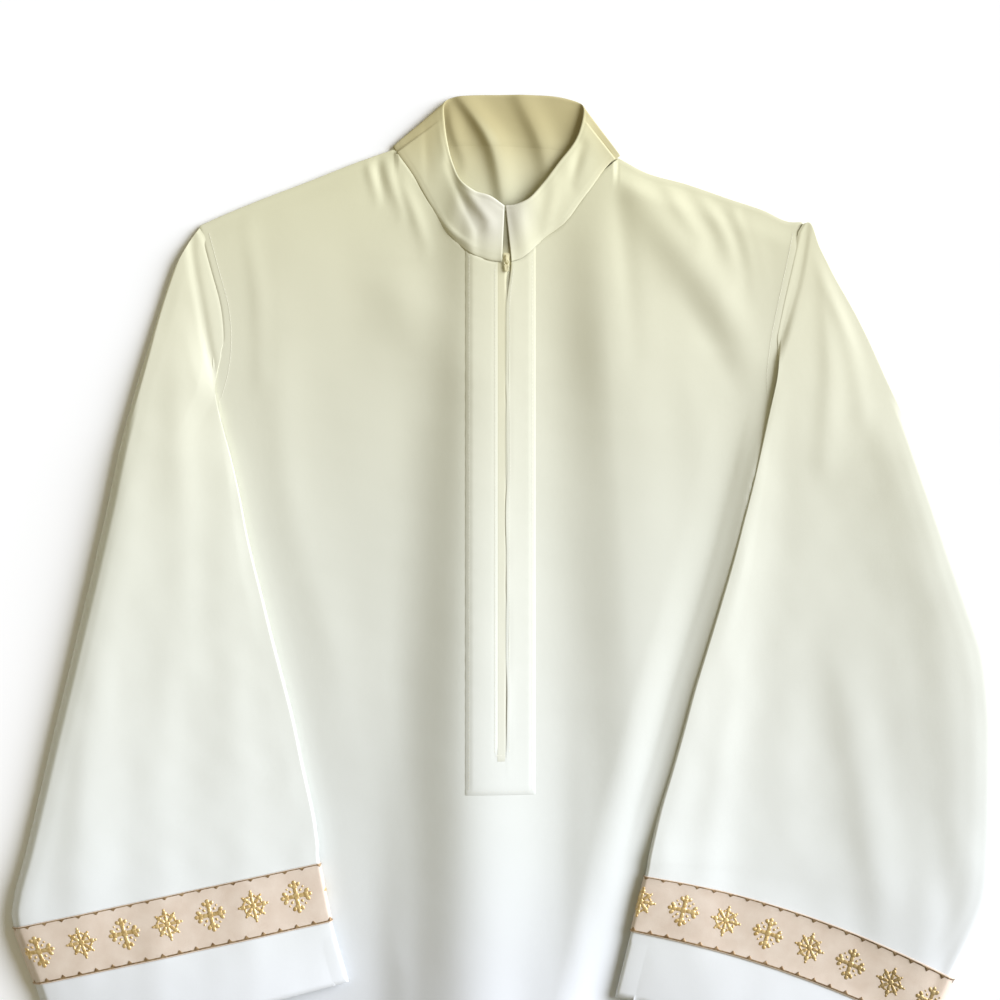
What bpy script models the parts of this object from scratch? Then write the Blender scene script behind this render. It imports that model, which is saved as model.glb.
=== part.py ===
"""Alb robe laid flat on its back: front, back, two set-in sleeves, stand collar, front placket with a zip,
and a galloon ribbon round each sleeve. Metres, +Z up, +Y towards the collar, the front of the robe faces up.
The wearer's right is at -X."""

import math

import bmesh
import bpy
import numpy as np

MM = 0.001

# ---- driving dimensions, metres ----
CLOTH = 1.5 * MM            # wall of every cloth panel
RIBBON = 1.0 * MM           # wall of the galloon, the placket facing and the zip tape
SEAM_GAP = 0.3 * MM         # between two pieces that are sewn together
HEM_Y = -724.8 * MM         # hem of the skirt
FRONT_REST = 3.6 * MM       # underside of the front where it lies flat on the back
FRONT_EDGE = 1.8 * MM       # underside of the front at its side and shoulder seams
COLLAR_CLEAR = 0.9 * MM     # from the front's neck edge to the collar's seam edge, along Y
EDGE_ROLL = 22.0 * MM       # width over which the front rises from a seam to its rest height
UNDERARM_Y = 380.0 * MM     # the front's side edges lie low from here down
NECK_OF_RIGHT_SHOULDER = (-91.8 * MM, 679.8 * MM)    # where shoulder seam and collar meet
NECK_OF_LEFT_SHOULDER = (92.7 * MM, 672.4 * MM)
BACK_NECK = (681.0 * MM, 685.6 * MM, 674.0 * MM)     # back's neck edge at its right end, middle and left end
SLIT_LEFT = -7.0 * MM       # edges and foot of the zip opening
SLIT_RIGHT = 0.6 * MM
SLIT_FOOT = 186.0 * MM
SLIT_SPREAD = 4.0 * MM      # how far the slider pushes the opening's left flap aside, and over what length
SPREAD_LENGTH = 45.0 * MM
PLACKET_LEFT = -33.0 * MM   # stitched strip round the zip opening
PLACKET_RIGHT = 24.0 * MM
PLACKET_FOOT = 151.0 * MM
TAPE_LEFT = -17.0 * MM      # zip tape under the opening
TAPE_RIGHT = 9.0 * MM
SLIDER_X = 0.4 * MM         # centre of the zip slider and its size
SLIDER_Y = 589.0 * MM
SLIDER_SIZE = (6.0 * MM, 11.0 * MM, 2.2 * MM)
SLIDER_ROUND = 0.5 * MM     # rounding of the slider's edges, and of the arch's
CROWN_ROUND = 0.15 * MM
CROWN_WIDTH = 1.4 * MM      # arch on the slider that holds the pull tab
CROWN_HALF = 3.6 * MM
CROWN_BAR = 0.8 * MM
CROWN_HEIGHT = 3.2 * MM
CROWN_SINK = 0.4 * MM       # how far the arch's legs run into the slider
PIN_RADIUS = 0.5 * MM       # cross bar of the pull tab, under the arch
PIN_HEIGHT = 1.3 * MM
PULL_HALF = 1.6 * MM        # half the pull tab's width at its round end, and at its eye
EYE_HALF = 2.7 * MM
PULL_ARM = 1.4 * MM
PULL_EYE = 5.2 * MM         # from the cross bar to the end of the eye
PULL_LENGTH = 10.5 * MM
PULL_THICK = 1.0 * MM
SLEEVE_EDGE = 3.5 * MM      # height of a sleeve at its pressed edges
SLEEVE_OVER_BODY = 5.8 * MM     # underside of a sleeve over the front
SLEEVE_ON_FLOOR = 1.7 * MM      # underside of a sleeve beside the body
GALLOON_ROOM = 2.0 * MM     # extra height under the sleeve for the galloon's lower run
SLEEVE_FADE = 50.0 * MM     # how far from a sleeve's inner edge the front's folds start to be pressed flat
UNDER_CUFFS_Y = -105.0 * MM     # below this the sleeves no longer lie on the front and its folds rise again
UNDER_CUFFS_FADE = 120.0 * MM
ARMHOLE_UNDER = 1.8 * MM    # underside of a sleeve at its armhole seam
# upper and lower end of each armhole seam
ARMHOLE_Y = {"right": (616.0 * MM, 515.0 * MM), "left": (619.0 * MM, 515.0 * MM)}
HOLE_RISE = 0.05            # share of a sleeve's length over which it rises from the armhole seam
BAND_RISE = 0.68            # where it rises again to make room for the galloon, and over what share
BAND_RISE_LENGTH = 0.12
CUFF_FLARE = 0.8            # share of a sleeve's length from which it opens towards the cuff
DROOP_START = 3.0 * MM      # how far outside the body a sleeve starts to droop to the floor, and its width
DROOP_WIDTH = 34.0 * MM

# ---- tables: a row for each station, sizes in mm ----
# the body's side edges: how far each lies from the centre line
SIDE = (
    ("y", "wearers_right", "wearers_left"),
    (620.0, 252.4, 243.6),
    (585.0, 243.0, 236.5),
    (548.0, 233.5, 228.5),
    (515.0, 232.0, 222.5),
    (482.0, 238.0, 220.5),
    (450.0, 252.0, 229.0),
    (420.0, 269.0, 251.0),
    (376.0, 290.0, 290.0),
    (200.0, 309.0, 309.0),
    (-200.0, 347.0, 347.0),
    (-724.8, 398.0, 398.0),
)
# the front's upper edge: shoulder, neck and shoulder again
FRONT_TOP = (
    ("x", "y"),
    (-251.5, 617.0),
    (-237.0, 623.5),
    (-205.8, 636.5),
    (-164.0, 652.5),
    (-122.2, 669.0),
    (-91.8, 679.8),
    (-76.0, 658.0),
    (-61.5, 634.0),
    (-46.7, 610.5),
    (-31.2, 595.5),
    (-16.4, 589.0),
    (-7.0, 587.0),
    (0.6, 587.0),
    (13.9, 591.5),
    (28.7, 604.5),
    (47.6, 618.5),
    (62.3, 638.0),
    (77.0, 658.5),
    (92.7, 672.4),
    (112.3, 661.7),
    (148.4, 651.0),
    (186.1, 638.0),
    (210.7, 629.8),
    (233.7, 620.0),
    (243.6, 620.0),
)
# the collar from the wearer's right front end round the back to the left front end: seam and top edge
COLLAR = (
    ("seam_x", "seam_y", "seam_z", "edge_x", "edge_y", "edge_z"),
    (-4.4, 588.0, 8.0, -2.0, 633.0, 12.0),
    (-16.4, 589.4, 5.2, -13.0, 641.0, 12.5),
    (-31.0, 596.0, 4.9, -26.0, 645.5, 12.5),
    (-46.4, 611.0, 4.7, -37.5, 655.0, 12.5),
    (-61.2, 634.4, 4.5, -43.5, 668.0, 12.0),
    (-75.4, 658.4, 4.4, -47.5, 683.0, 11.0),
    (-86.0, 672.8, 4.2, -50.0, 700.0, 9.0),
    (-91.2, 681.6, 2.6, -50.5, 716.5, 5.0),
    (-84.0, 686.0, 0.8, -44.0, 722.5, 1.6),
    (-50.0, 685.0, 0.8, -26.0, 724.5, 1.6),
    (-16.0, 686.0, 0.8, -7.0, 724.8, 1.6),
    (16.0, 686.0, 0.8, 14.0, 724.8, 1.6),
    (50.0, 682.0, 0.8, 40.0, 723.6, 1.6),
    (84.0, 680.0, 0.8, 58.5, 719.0, 1.8),
    (92.4, 674.6, 2.6, 63.5, 713.5, 5.0),
    (84.5, 668.0, 4.2, 61.5, 699.0, 9.0),
    (76.8, 659.0, 4.4, 55.5, 684.5, 11.0),
    (62.0, 638.6, 4.6, 43.0, 668.5, 12.5),
    (47.2, 619.2, 4.8, 31.5, 653.0, 13.0),
    (28.4, 605.3, 5.0, 19.5, 639.5, 13.0),
    (13.8, 592.4, 5.3, 8.0, 634.0, 12.5),
    (4.8, 588.0, 8.0, 1.0, 633.0, 12.0),
)
# the sleeves from armhole to cuff: outer edge, inner edge, how far the line between them bows to the collar,
# and the height of the sleeve at its middle
SLEEVE_RIGHT = (
    ("outer_x", "outer_y", "inner_x", "inner_y", "bow", "rise"),
    (-260.8, 602.7, -237.4, 495.0, 4.0, 3.8),
    (-273.1, 580.6, -238.6, 477.5, 6.0, 4.2),
    (-282.9, 551.9, -232.9, 453.5, 6.0, 4.8),
    (-293.6, 518.2, -226.3, 429.7, 5.0, 5.6),
    (-304.2, 483.0, -218.9, 398.5, 4.0, 6.5),
    (-316.5, 437.9, -212.4, 364.9, 3.0, 7.3),
    (-327.2, 387.9, -205.8, 337.0, 2.0, 8.0),
    (-337.8, 341.1, -198.4, 308.3, 1.0, 8.5),
    (-350.1, 289.5, -191.1, 278.8, 0.0, 8.5),
    (-360.8, 244.4, -182.9, 247.6, 0.0, 8.5),
    (-372.3, 196.8, -173.8, 211.6, 0.0, 8.5),
    (-383.8, 147.6, -165.6, 172.2, 0.0, 8.5),
    (-395.2, 100.0, -157.4, 136.1, 0.0, 9.0),
    (-404.2, 66.0, -153.6, 110.7, 0.0, 9.5),
    (-404.5, 41.8, -152.5, 95.1, 0.0, 10.0),
    (-387.0, -5.7, -142.7, 46.7, 0.0, 11.5),
    (-368.2, -61.5, -128.7, -2.5, 0.0, 12.5),
)
SLEEVE_LEFT = (
    ("outer_x", "outer_y", "inner_x", "inner_y", "bow", "rise"),
    (251.0, 618.5, 223.4, 512.0, 2.0, 3.7),
    (258.0, 599.0, 224.0, 508.0, 4.0, 4.0),
    (272.0, 573.0, 222.2, 490.4, 6.0, 4.5),
    (288.0, 545.0, 215.7, 461.7, 8.0, 5.2),
    (301.0, 520.0, 209.1, 433.0, 9.0, 6.0),
    (315.7, 488.7, 201.7, 401.8, 9.0, 7.2),
    (330.5, 455.9, 194.3, 373.9, 9.0, 8.6),
    (343.6, 419.8, 186.1, 342.8, 9.0, 10.2),
    (359.2, 375.6, 175.5, 306.7, 9.0, 11.8),
    (372.3, 337.8, 164.0, 269.0, 9.0, 13.2),
    (386.2, 300.1, 153.3, 234.5, 9.0, 14.4),
    (397.7, 264.9, 143.5, 198.4, 9.0, 15.4),
    (403.6, 218.1, 134.5, 167.3, 9.0, 16.0),
    (404.6, 165.6, 126.3, 140.2, 9.0, 16.0),
    (403.6, 113.2, 119.7, 113.2, 10.0, 16.0),
    (397.7, 59.9, 116.4, 98.4, 11.0, 15.5),
    (368.2, 0.0, 114.0, 84.5, 11.0, 14.0),
    (350.1, -46.7, 102.5, 38.5, 10.0, 14.0),
    (332.1, -93.5, 89.4, -14.8, 8.0, 14.5),
)
GALLOON_ROWS = (-3, -2)     # sleeve stations at the upper and lower edge of the galloon
# height of each sleeve's upper layer across it, as a share of its rise: the wearer's right lies flat,
# the left has a valley along its middle and a full roll at its outer edge
ACROSS = (
    ("share", "wearers_right", "wearers_left"),
    (0.000, 0.00, 0.00),
    (0.012, 0.55, 0.66),
    (0.030, 0.74, 0.88),
    (0.065, 0.92, 0.99),
    (0.120, 1.00, 0.97),
    (0.260, 1.00, 0.68),
    (0.450, 0.85, 0.38),
    (0.600, 0.72, 0.14),
    (0.720, 0.62, 0.02),
    (0.860, 0.48, 0.05),
    (0.970, 0.26, 0.06),
    (1.000, 0.10, 0.04),
)
# folds of the front, each a soft ridge through three points from top to bottom: where it runs, its height
# there, its reach to the left at its top and bottom and to the right, and how it fades past its ends
FOLDS = (
    ("y1", "x1", "high1", "y2", "x2", "high2", "y3", "x3", "high3", "left1", "left3", "right", "fade"),
    (612.0, -26.0, 5.0, 60.0, -32.0, 15.5, -725.0, -30.0, 14.0, 22.0, 84.0, 50.0, 60.0),
    (590.0, 80.0, 4.6, 300.0, 101.0, 6.0, -725.0, 136.0, 9.0, 28.0, 64.0, 58.0, 60.0),
    (570.0, 86.0, 1.0, 523.0, 88.0, 2.5, 460.0, 94.0, 0.8, 30.0, 34.0, 60.0, 20.0),
    (640.0, 104.0, 3.0, 575.0, 150.0, 4.5, 520.0, 192.0, 3.0, 22.0, 24.0, 26.0, 22.0),
    (612.0, 205.0, 1.5, 585.0, 214.0, 2.6, 540.0, 221.0, 1.5, 10.0, 11.0, 9.0, 14.0),
    (585.0, -90.0, 0.6, 556.0, -82.0, 2.2, 505.0, -64.0, 1.0, 30.0, 26.0, 34.0, 14.0),
    (300.0, -150.0, 0.6, 0.0, -122.0, 2.6, -725.0, -150.0, 11.0, 44.0, 50.0, 52.0, 90.0),
    (-120.0, -204.0, 3.0, -400.0, -232.0, 7.0, -725.0, -262.0, 9.0, 30.0, 40.0, 32.0, 90.0),
    (-140.0, 206.0, 3.0, -420.0, 230.0, 7.0, -725.0, 254.0, 10.0, 26.0, 34.0, 38.0, 90.0),
    (-80.0, 36.0, 2.0, -400.0, 44.0, 6.0, -725.0, 52.0, 8.0, 20.0, 24.0, 26.0, 90.0),
)

CLOTH_COLOUR = (0.86, 0.85, 0.76, 1.0)
GALLOON_COLOUR = (0.74, 0.63, 0.54, 1.0)
ZIP_COLOUR = (0.84, 0.82, 0.70, 1.0)


def columns(table):
    """The named columns of a table, in metres; the first row holds the names."""
    rows = np.array(table[1:], dtype=float) * MM
    return {name: rows[:, i] for i, name in enumerate(table[0])}


def smooth(t):
    """Smooth step from 0 to 1."""
    t = np.clip(t, 0.0, 1.0)
    return t * t * (3.0 - 2.0 * t)


def lookup(x, xs, ys):
    """Linear interpolation in a table whose xs may run either way."""
    order = np.argsort(xs)
    return np.interp(x, xs[order], ys[order])


SIDE_M = columns(SIDE)
TOP_M = columns(FRONT_TOP)
SLEEVES_M = {"right": columns(SLEEVE_RIGHT), "left": columns(SLEEVE_LEFT)}


def side_x(y, wearers_left):
    """x of the body's side edge at height y."""
    if wearers_left:
        return lookup(y, SIDE_M["y"], SIDE_M["wearers_left"])
    return -lookup(y, SIDE_M["y"], SIDE_M["wearers_right"])


def outside(x, y):
    """Distance in x from the body's side edge, positive outside it."""
    return np.maximum(x - side_x(y, True), side_x(y, False) - x)


def top_y(x):
    """y of the front's upper edge at x."""
    return np.interp(x, TOP_M["x"], TOP_M["y"])


def fold_height(x, y):
    """Height that the front's folds add at (x, y)."""
    total = np.zeros_like(x)
    for row in FOLDS[1:]:
        y1, x1, high1, y2, x2, high2, y3, x3, high3, left1, left3, right, fade = (v * MM for v in row)
        ys = [y3, y2, y1]
        ridge = np.interp(y, ys, [x3, x2, x1])
        high = np.interp(y, ys, [high3, high2, high1])
        left = np.interp(y, [y3, y1], [left3, left1])
        width = np.where(x < ridge, left, right)
        past = np.clip(y - y1, 0.0, None) + np.clip(y3 - y, 0.0, None)
        total += high * np.exp(-(((x - ridge) / width) ** 2) - (past / fade) ** 2)
    return total


def inner_edge_x(y, side):
    """x of a sleeve's inner edge where it lies on the front."""
    table = SLEEVES_M[side]
    return lookup(y, table["inner_y"], table["inner_x"])


def pressed(x, y):
    """0 where a sleeve presses the front flat, 1 in the open."""
    clear = np.minimum(x - inner_edge_x(y, "right"), inner_edge_x(y, "left") - x)
    below = smooth((UNDER_CUFFS_Y - y) / UNDER_CUFFS_FADE)
    return np.maximum(smooth(clear / SLEEVE_FADE), below)


def front_under(x, y):
    """Underside of the front at (x, y)."""
    shoulder = np.where(np.abs(x) > 90.0 * MM, top_y(x) - y, 1.0)
    side = np.where(y < UNDERARM_Y, -outside(x, y), 1.0)
    roll = smooth(np.minimum(shoulder, side) / EDGE_ROLL)
    rest = FRONT_EDGE + (FRONT_REST - FRONT_EDGE) * roll
    return rest + fold_height(x, y) * pressed(x, y) * roll


# ---- grids ----
CORE = 50.0 * MM            # columns nearer the centre than this run straight down
CORE_X = (-50.0, -42.0, -33.0, -25.0, -17.0, -7.0, 0.6, 9.0, 16.5, 24.0, 36.0, 50.0)
WING_STEPS = 12             # columns between the core and each side edge
SKIRT_ROWS = 19             # rows from the hem to the foot of the placket
CHEST_ROWS = 15             # rows from the foot of the opening to the upper edge


def column_x(share, y):
    """x at height y of a wing column; share runs from 0 at the core to +-1 at the side edge."""
    edge = np.where(share > 0.0, side_x(y, True), -side_x(y, False))
    return np.sign(share) * (CORE + (edge - CORE) * np.abs(share))


def body_columns():
    """Column list: ('core', x) or ('wing', share), from left to right."""
    shares = [i / WING_STEPS for i in range(1, WING_STEPS + 1)]
    left = [("wing", -s) for s in reversed(shares)]
    return left + [("core", x * MM) for x in CORE_X] + [("wing", s) for s in shares]


def spread_x(x, y):
    """x moved aside by the zip slider: the opening's right edge gives way, the placket's outer edge stays."""
    share = 1.0 - (x - SLIT_RIGHT) / (PLACKET_RIGHT - SLIT_RIGHT)
    share = np.where(x < SLIT_RIGHT - 0.1 * MM, 0.0, np.clip(share, 0.0, 1.0))
    return x + share * SLIT_SPREAD * np.exp(-(((top_y(0.0) - y) / SPREAD_LENGTH) ** 2))


def row_y(upper):
    """Heights of the rows up a column: level as far as the foot of the opening, then up to its upper end."""
    skirt = np.linspace(HEM_Y, PLACKET_FOOT, SKIRT_ROWS)
    chest = np.linspace(SLIT_FOOT, upper, CHEST_ROWS)
    return np.concatenate([skirt, chest])


def column_points(column, top):
    """Points (x, y) up one column, from the hem to the upper edge given by top."""
    kind, value = column
    upper = 600.0 * MM
    for _ in range(12):
        x = value if kind == "core" else float(column_x(np.array(value), upper))
        upper = float(top(x))
    y = row_y(upper)
    level = np.full_like(y, value)
    x = spread_x(level, y) if kind == "core" else column_x(level, y)
    return np.stack([x, y], axis=1)


def shell(name, upper, lower, skip=None):
    """One closed solid between two grids of points; skip marks the cells that are left open."""
    rows, cols = upper.shape[:2]
    used = np.ones((rows - 1, cols - 1), bool) if skip is None else ~skip
    mesh = bpy.data.meshes.new(name)
    bm = bmesh.new()
    up, low = {}, {}

    def vertex(store, grid, r, c):
        if (r, c) not in store:
            store[r, c] = bm.verts.new(grid[r, c])
        return store[r, c]

    def corners(store, grid, r, c):
        return [vertex(store, grid, r + i, c + j) for i, j in ((0, 0), (0, 1), (1, 1), (1, 0))]

    for r in range(rows - 1):
        for c in range(cols - 1):
            if not used[r, c]:
                continue
            top_face = corners(up, upper, r, c)
            low_face = corners(low, lower, r, c)
            for a, b, d in ((0, 1, 2), (0, 2, 3)):
                bm.faces.new([top_face[a], top_face[b], top_face[d]])
                bm.faces.new([low_face[d], low_face[b], low_face[a]])
            neighbours = (((r - 1, c), 0, 1), ((r, c + 1), 1, 2), ((r + 1, c), 2, 3), ((r, c - 1), 3, 0))
            for (nr, nc), a, b in neighbours:
                inside = 0 <= nr < rows - 1 and 0 <= nc < cols - 1 and used[nr, nc]
                if not inside:
                    bm.faces.new([top_face[b], top_face[a], low_face[a], low_face[b]])
    bmesh.ops.recalc_face_normals(bm, faces=bm.faces)
    bm.to_mesh(mesh)
    bm.free()
    return link(name, mesh)


def link(name, mesh):
    """Object of that mesh in the scene, shaded smooth with its sharp edges kept."""
    mesh.shade_smooth()
    mesh.set_sharp_from_angle(angle=math.radians(50.0))
    obj = bpy.data.objects.new(name, mesh)
    bpy.context.scene.collection.objects.link(obj)
    return obj


def material(name, colour, roughness, metallic=0.0):
    """Principled material."""
    mat = bpy.data.materials.new(name)
    mat.use_nodes = True
    shader = mat.node_tree.nodes["Principled BSDF"]
    shader.inputs["Base Color"].default_value = colour
    shader.inputs["Roughness"].default_value = roughness
    shader.inputs["Metallic"].default_value = metallic
    return mat


def stack(xy, z):
    """Grid of points from a grid of (x, y) and a grid of heights."""
    return np.concatenate([xy, z[..., None]], axis=2)


def body_grid(top, cols):
    """Grid of (x, y) over the body, rows from hem to top."""
    return np.stack([column_points(c, top) for c in cols], axis=1)


def opening_cells(xy):
    """Cells of a grid that lie inside the zip opening."""
    mid = (xy[:-1, :-1] + xy[1:, :-1] + xy[:-1, 1:] + xy[1:, 1:]) / 4.0
    left = xy[0, :-1, 0] > SLIT_LEFT - 0.1 * MM
    right = xy[0, 1:, 0] < SLIT_RIGHT + 0.1 * MM
    return (left & right)[None, :] & (mid[..., 1] > SLIT_FOOT)


def make_front():
    """Front panel with its opening for the zip."""
    xy = body_grid(top_y, body_columns())
    under = front_under(xy[..., 0], xy[..., 1])
    skip = opening_cells(xy)
    return shell("front", stack(xy, under + CLOTH), stack(xy, under), skip)


def back_top(x):
    """y of the back's upper edge: the shoulders and a shallow neck."""
    right, left = NECK_OF_RIGHT_SHOULDER[0], NECK_OF_LEFT_SHOULDER[0]
    neck = np.interp(x, [right, 0.0, left], BACK_NECK)
    return np.where((x > right) & (x < left), neck, top_y(x))


def back_columns():
    """Column list of the back, with a column on each end of its neck."""
    left = (-NECK_OF_RIGHT_SHOULDER[0] - CORE) / (-side_x(600.0 * MM, False) - CORE)
    right = (NECK_OF_LEFT_SHOULDER[0] - CORE) / (side_x(600.0 * MM, True) - CORE)
    outer = [("wing", -s) for s in (1.0, 0.8, 0.6, 0.4, left)]
    core = [("core", x * MM) for x in (-50.0, -16.0, 16.0, 50.0)]
    return outer + core + [("wing", s) for s in (right, 0.4, 0.6, 0.8, 1.0)]


def make_back():
    """Back panel, flat on what it lies on."""
    xy = body_grid(back_top, back_columns())
    low = np.zeros(xy.shape[:2])
    return shell("back", stack(xy, low + CLOTH), stack(xy, low))


def strip_grid(left, right, foot):
    """The front's own points in a strip round the zip opening, from its foot to the neck."""
    cols = [("core", x * MM) for x in CORE_X if left - 0.1 * MM <= x * MM <= right + 0.1 * MM]
    xy = body_grid(top_y, cols)
    return xy[xy[:, 0, 1] > foot - 0.1 * MM]


def make_placket():
    """Stitched strip that frames the zip opening, lying on the front."""
    xy = strip_grid(PLACKET_LEFT, PLACKET_RIGHT, PLACKET_FOOT)
    under = front_under(xy[..., 0], xy[..., 1]) + CLOTH + SEAM_GAP
    return shell("placket", stack(xy, under + RIBBON), stack(xy, under), opening_cells(xy))


def make_zip_tape():
    """Tape of the zip, under the front's opening."""
    xy = strip_grid(TAPE_LEFT, TAPE_RIGHT, PLACKET_FOOT)
    upper = front_under(xy[..., 0], xy[..., 1]) - SEAM_GAP
    return shell("zip_tape", stack(xy, upper), stack(xy, upper - RIBBON))


def ring_shell(name, outer, inner):
    """Tube wall between two grids of closed rings, a row for each ring."""
    rings, count = outer.shape[:2]
    mesh = bpy.data.meshes.new(name)
    bm = bmesh.new()
    out = [[bm.verts.new(p) for p in ring] for ring in outer]
    ins = [[bm.verts.new(p) for p in ring] for ring in inner]
    for i in range(rings - 1):
        for j in range(count):
            k = (j + 1) % count
            for wall in (out, ins):
                bm.faces.new([wall[i][j], wall[i][k], wall[i + 1][k]])
                bm.faces.new([wall[i][j], wall[i + 1][k], wall[i + 1][j]])
    for j in range(count):
        k = (j + 1) % count
        bm.faces.new([out[0][k], out[0][j], ins[0][j], ins[0][k]])
        bm.faces.new([out[-1][j], out[-1][k], ins[-1][k], ins[-1][j]])
    bmesh.ops.recalc_face_normals(bm, faces=bm.faces)
    bm.to_mesh(mesh)
    bm.free()
    return link(name, mesh)


SLEEVE_ACROSS = 11          # points across one layer of a sleeve between its edges
EDGE_INSET = 4.0 * MM       # from a sleeve's edge to the first point of each layer
OUTER_ROLL = 8.0 * MM       # width over which a sleeve's upper layer rounds down to its outer edge
EDGE_WALL = 2.4 * MM        # wall of a sleeve at its two edges
GALLOON_CLEAR = 0.4 * MM    # between a sleeve and its galloon


def armhole_x(y, wearers_left):
    """x of the front's own side edge, as its grid has it."""
    edge = body_grid(top_y, body_columns())[:, -1 if wearers_left else 0]
    return np.interp(y, edge[:, 1], edge[:, 0])


def sleeve_lines(side):
    """Start and end of each line across a sleeve with its bow and rise, the armhole line first."""
    table = SLEEVES_M[side]
    wearers_left = side == "left"
    hole_y = np.array(ARMHOLE_Y[side])
    out = SEAM_GAP if wearers_left else -SEAM_GAP
    hole_x = armhole_x(hole_y, wearers_left) + out
    outer = np.stack([table["outer_x"], table["outer_y"]], axis=1)
    inner = np.stack([table["inner_x"], table["inner_y"]], axis=1)
    outer = np.vstack([[hole_x[0], hole_y[0]], outer])
    inner = np.vstack([[hole_x[1], hole_y[1]], inner])
    bow = np.concatenate([[0.0], table["bow"]])
    rise = np.concatenate([[SLEEVE_EDGE], table["rise"]])
    return outer, inner, bow, rise


def across_shares(count, inset_share):
    """Positions across a sleeve between its edges, closer near the edges."""
    inner = np.linspace(0.0, 1.0, count)
    eased = 0.5 - 0.5 * np.cos(np.pi * inner)
    mixed = 0.5 * inner + 0.5 * eased
    return inset_share + (1.0 - 2.0 * inset_share) * mixed


def sleeve_over(along):
    """Underside of a sleeve where it lies over the front: low at the armhole, higher at the galloon."""
    band = smooth((along - BAND_RISE) / BAND_RISE_LENGTH)
    over = SLEEVE_OVER_BODY + GALLOON_ROOM * band
    return ARMHOLE_UNDER + (over - ARMHOLE_UNDER) * smooth(along / HOLE_RISE)


def sleeve_under(x, y, along):
    """Underside of a sleeve: over the front it lies on it, beside the body it droops to the floor."""
    over = sleeve_over(along)
    on_floor = ARMHOLE_UNDER + (SLEEVE_ON_FLOOR - ARMHOLE_UNDER) * smooth(along / HOLE_RISE)
    fall = smooth((outside(x, y) - DROOP_START) / DROOP_WIDTH)
    return over + (on_floor - over) * fall


def across_height(side, share, along):
    """Height of a sleeve's upper layer, as a share of its rise; towards the cuff it opens in an arch."""
    table = np.array(ACROSS[1:])
    laid = np.interp(share, table[:, 0], table[:, 1 if side == "right" else 2])
    arch = np.sin(np.pi * share) ** 0.7
    flare = smooth((along - CUFF_FLARE) / (1.0 - CUFF_FLARE))
    return laid + (arch - laid) * flare


def sleeve_rings(side):
    """Outer and inner grids of a sleeve: each line has an edge, upper points, an edge and lower points."""
    outer, inner, bow, rise = sleeve_lines(side)
    mids = (outer + inner) / 2.0
    steps = np.linalg.norm(np.diff(mids, axis=0), axis=1)
    along = np.concatenate([[0.0], np.cumsum(steps)]) / steps.sum()
    out_rings, in_rings = [], []
    for i in range(len(outer)):
        chord = inner[i] - outer[i]
        width = np.linalg.norm(chord)
        shares = across_shares(SLEEVE_ACROSS, EDGE_INSET / width)
        normal = np.array([-chord[1], chord[0]]) / width
        normal = normal if normal[1] > 0.0 else -normal

        def place(share, i=i, chord=chord, normal=normal):
            bend = bow[i] * 4.0 * share * (1.0 - share)
            return outer[i] + chord * share[:, None] + normal * bend[:, None]

        xy = place(shares)
        if i == 0:
            xy[:, 0] = armhole_x(xy[:, 1], side == "left") + (SEAM_GAP if side == "left" else -SEAM_GAP)
        ends = place(np.array([0.0, 1.0]))
        low = sleeve_under(xy[:, 0], xy[:, 1], along[i])
        end_low = sleeve_under(ends[:, 0], ends[:, 1], along[i])
        puff = (rise[i] - SLEEVE_EDGE) * across_height(side, shares, along[i])
        near = np.minimum(shares, 1.0 - shares) * width
        level = low + (sleeve_over(along[i]) - low) * smooth(near / OUTER_ROLL)
        high = level + SLEEVE_EDGE + puff
        end_mid = end_low + SLEEVE_EDGE / 2.0
        wall_in = ends + np.array([1.0, -1.0])[:, None] * chord / width * EDGE_WALL
        up = np.column_stack([xy, high])
        down = np.column_stack([xy, low])[::-1]
        first = np.append(ends[0], end_mid[0])
        last = np.append(ends[1], end_mid[1])
        out_rings.append(np.vstack([first, up, last, down]))
        up_in = np.column_stack([xy, high - CLOTH])
        down_in = np.column_stack([xy, low + CLOTH])[::-1]
        first_in = np.append(wall_in[0], end_mid[0])
        last_in = np.append(wall_in[1], end_mid[1])
        in_rings.append(np.vstack([first_in, up_in, last_in, down_in]))
    return np.array(out_rings), np.array(in_rings)


def make_sleeve(side):
    """One sleeve, a flat tube open at the armhole and the cuff."""
    outer, inner = sleeve_rings(side)
    return ring_shell("sleeve_" + side, outer, inner)


def ring_normals(rings):
    """Outward direction at each point of a flat ring, in its own section."""
    after = np.roll(rings, -1, axis=1)
    before = np.roll(rings, 1, axis=1)
    tangent = after - before
    along = np.gradient(rings, axis=0)
    normal = np.cross(tangent, along)
    normal /= np.linalg.norm(normal, axis=2)[..., None]
    centre = rings.mean(axis=1)[:, None, :]
    sign = np.sign(((rings - centre) * normal).sum(axis=2).mean())
    return normal * sign


def make_galloon(side):
    """Ribbon round a sleeve above its cuff, made from the sleeve's points moved out."""
    rings, _ = sleeve_rings(side)
    first = len(rings) + GALLOON_ROWS[0]
    last = len(rings) + GALLOON_ROWS[1]
    normals = ring_normals(rings)[first:last + 1]
    band = rings[first:last + 1]
    outer = band + normals * (GALLOON_CLEAR + RIBBON)
    return ring_shell("galloon_" + side, outer, band + normals * GALLOON_CLEAR)


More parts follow.
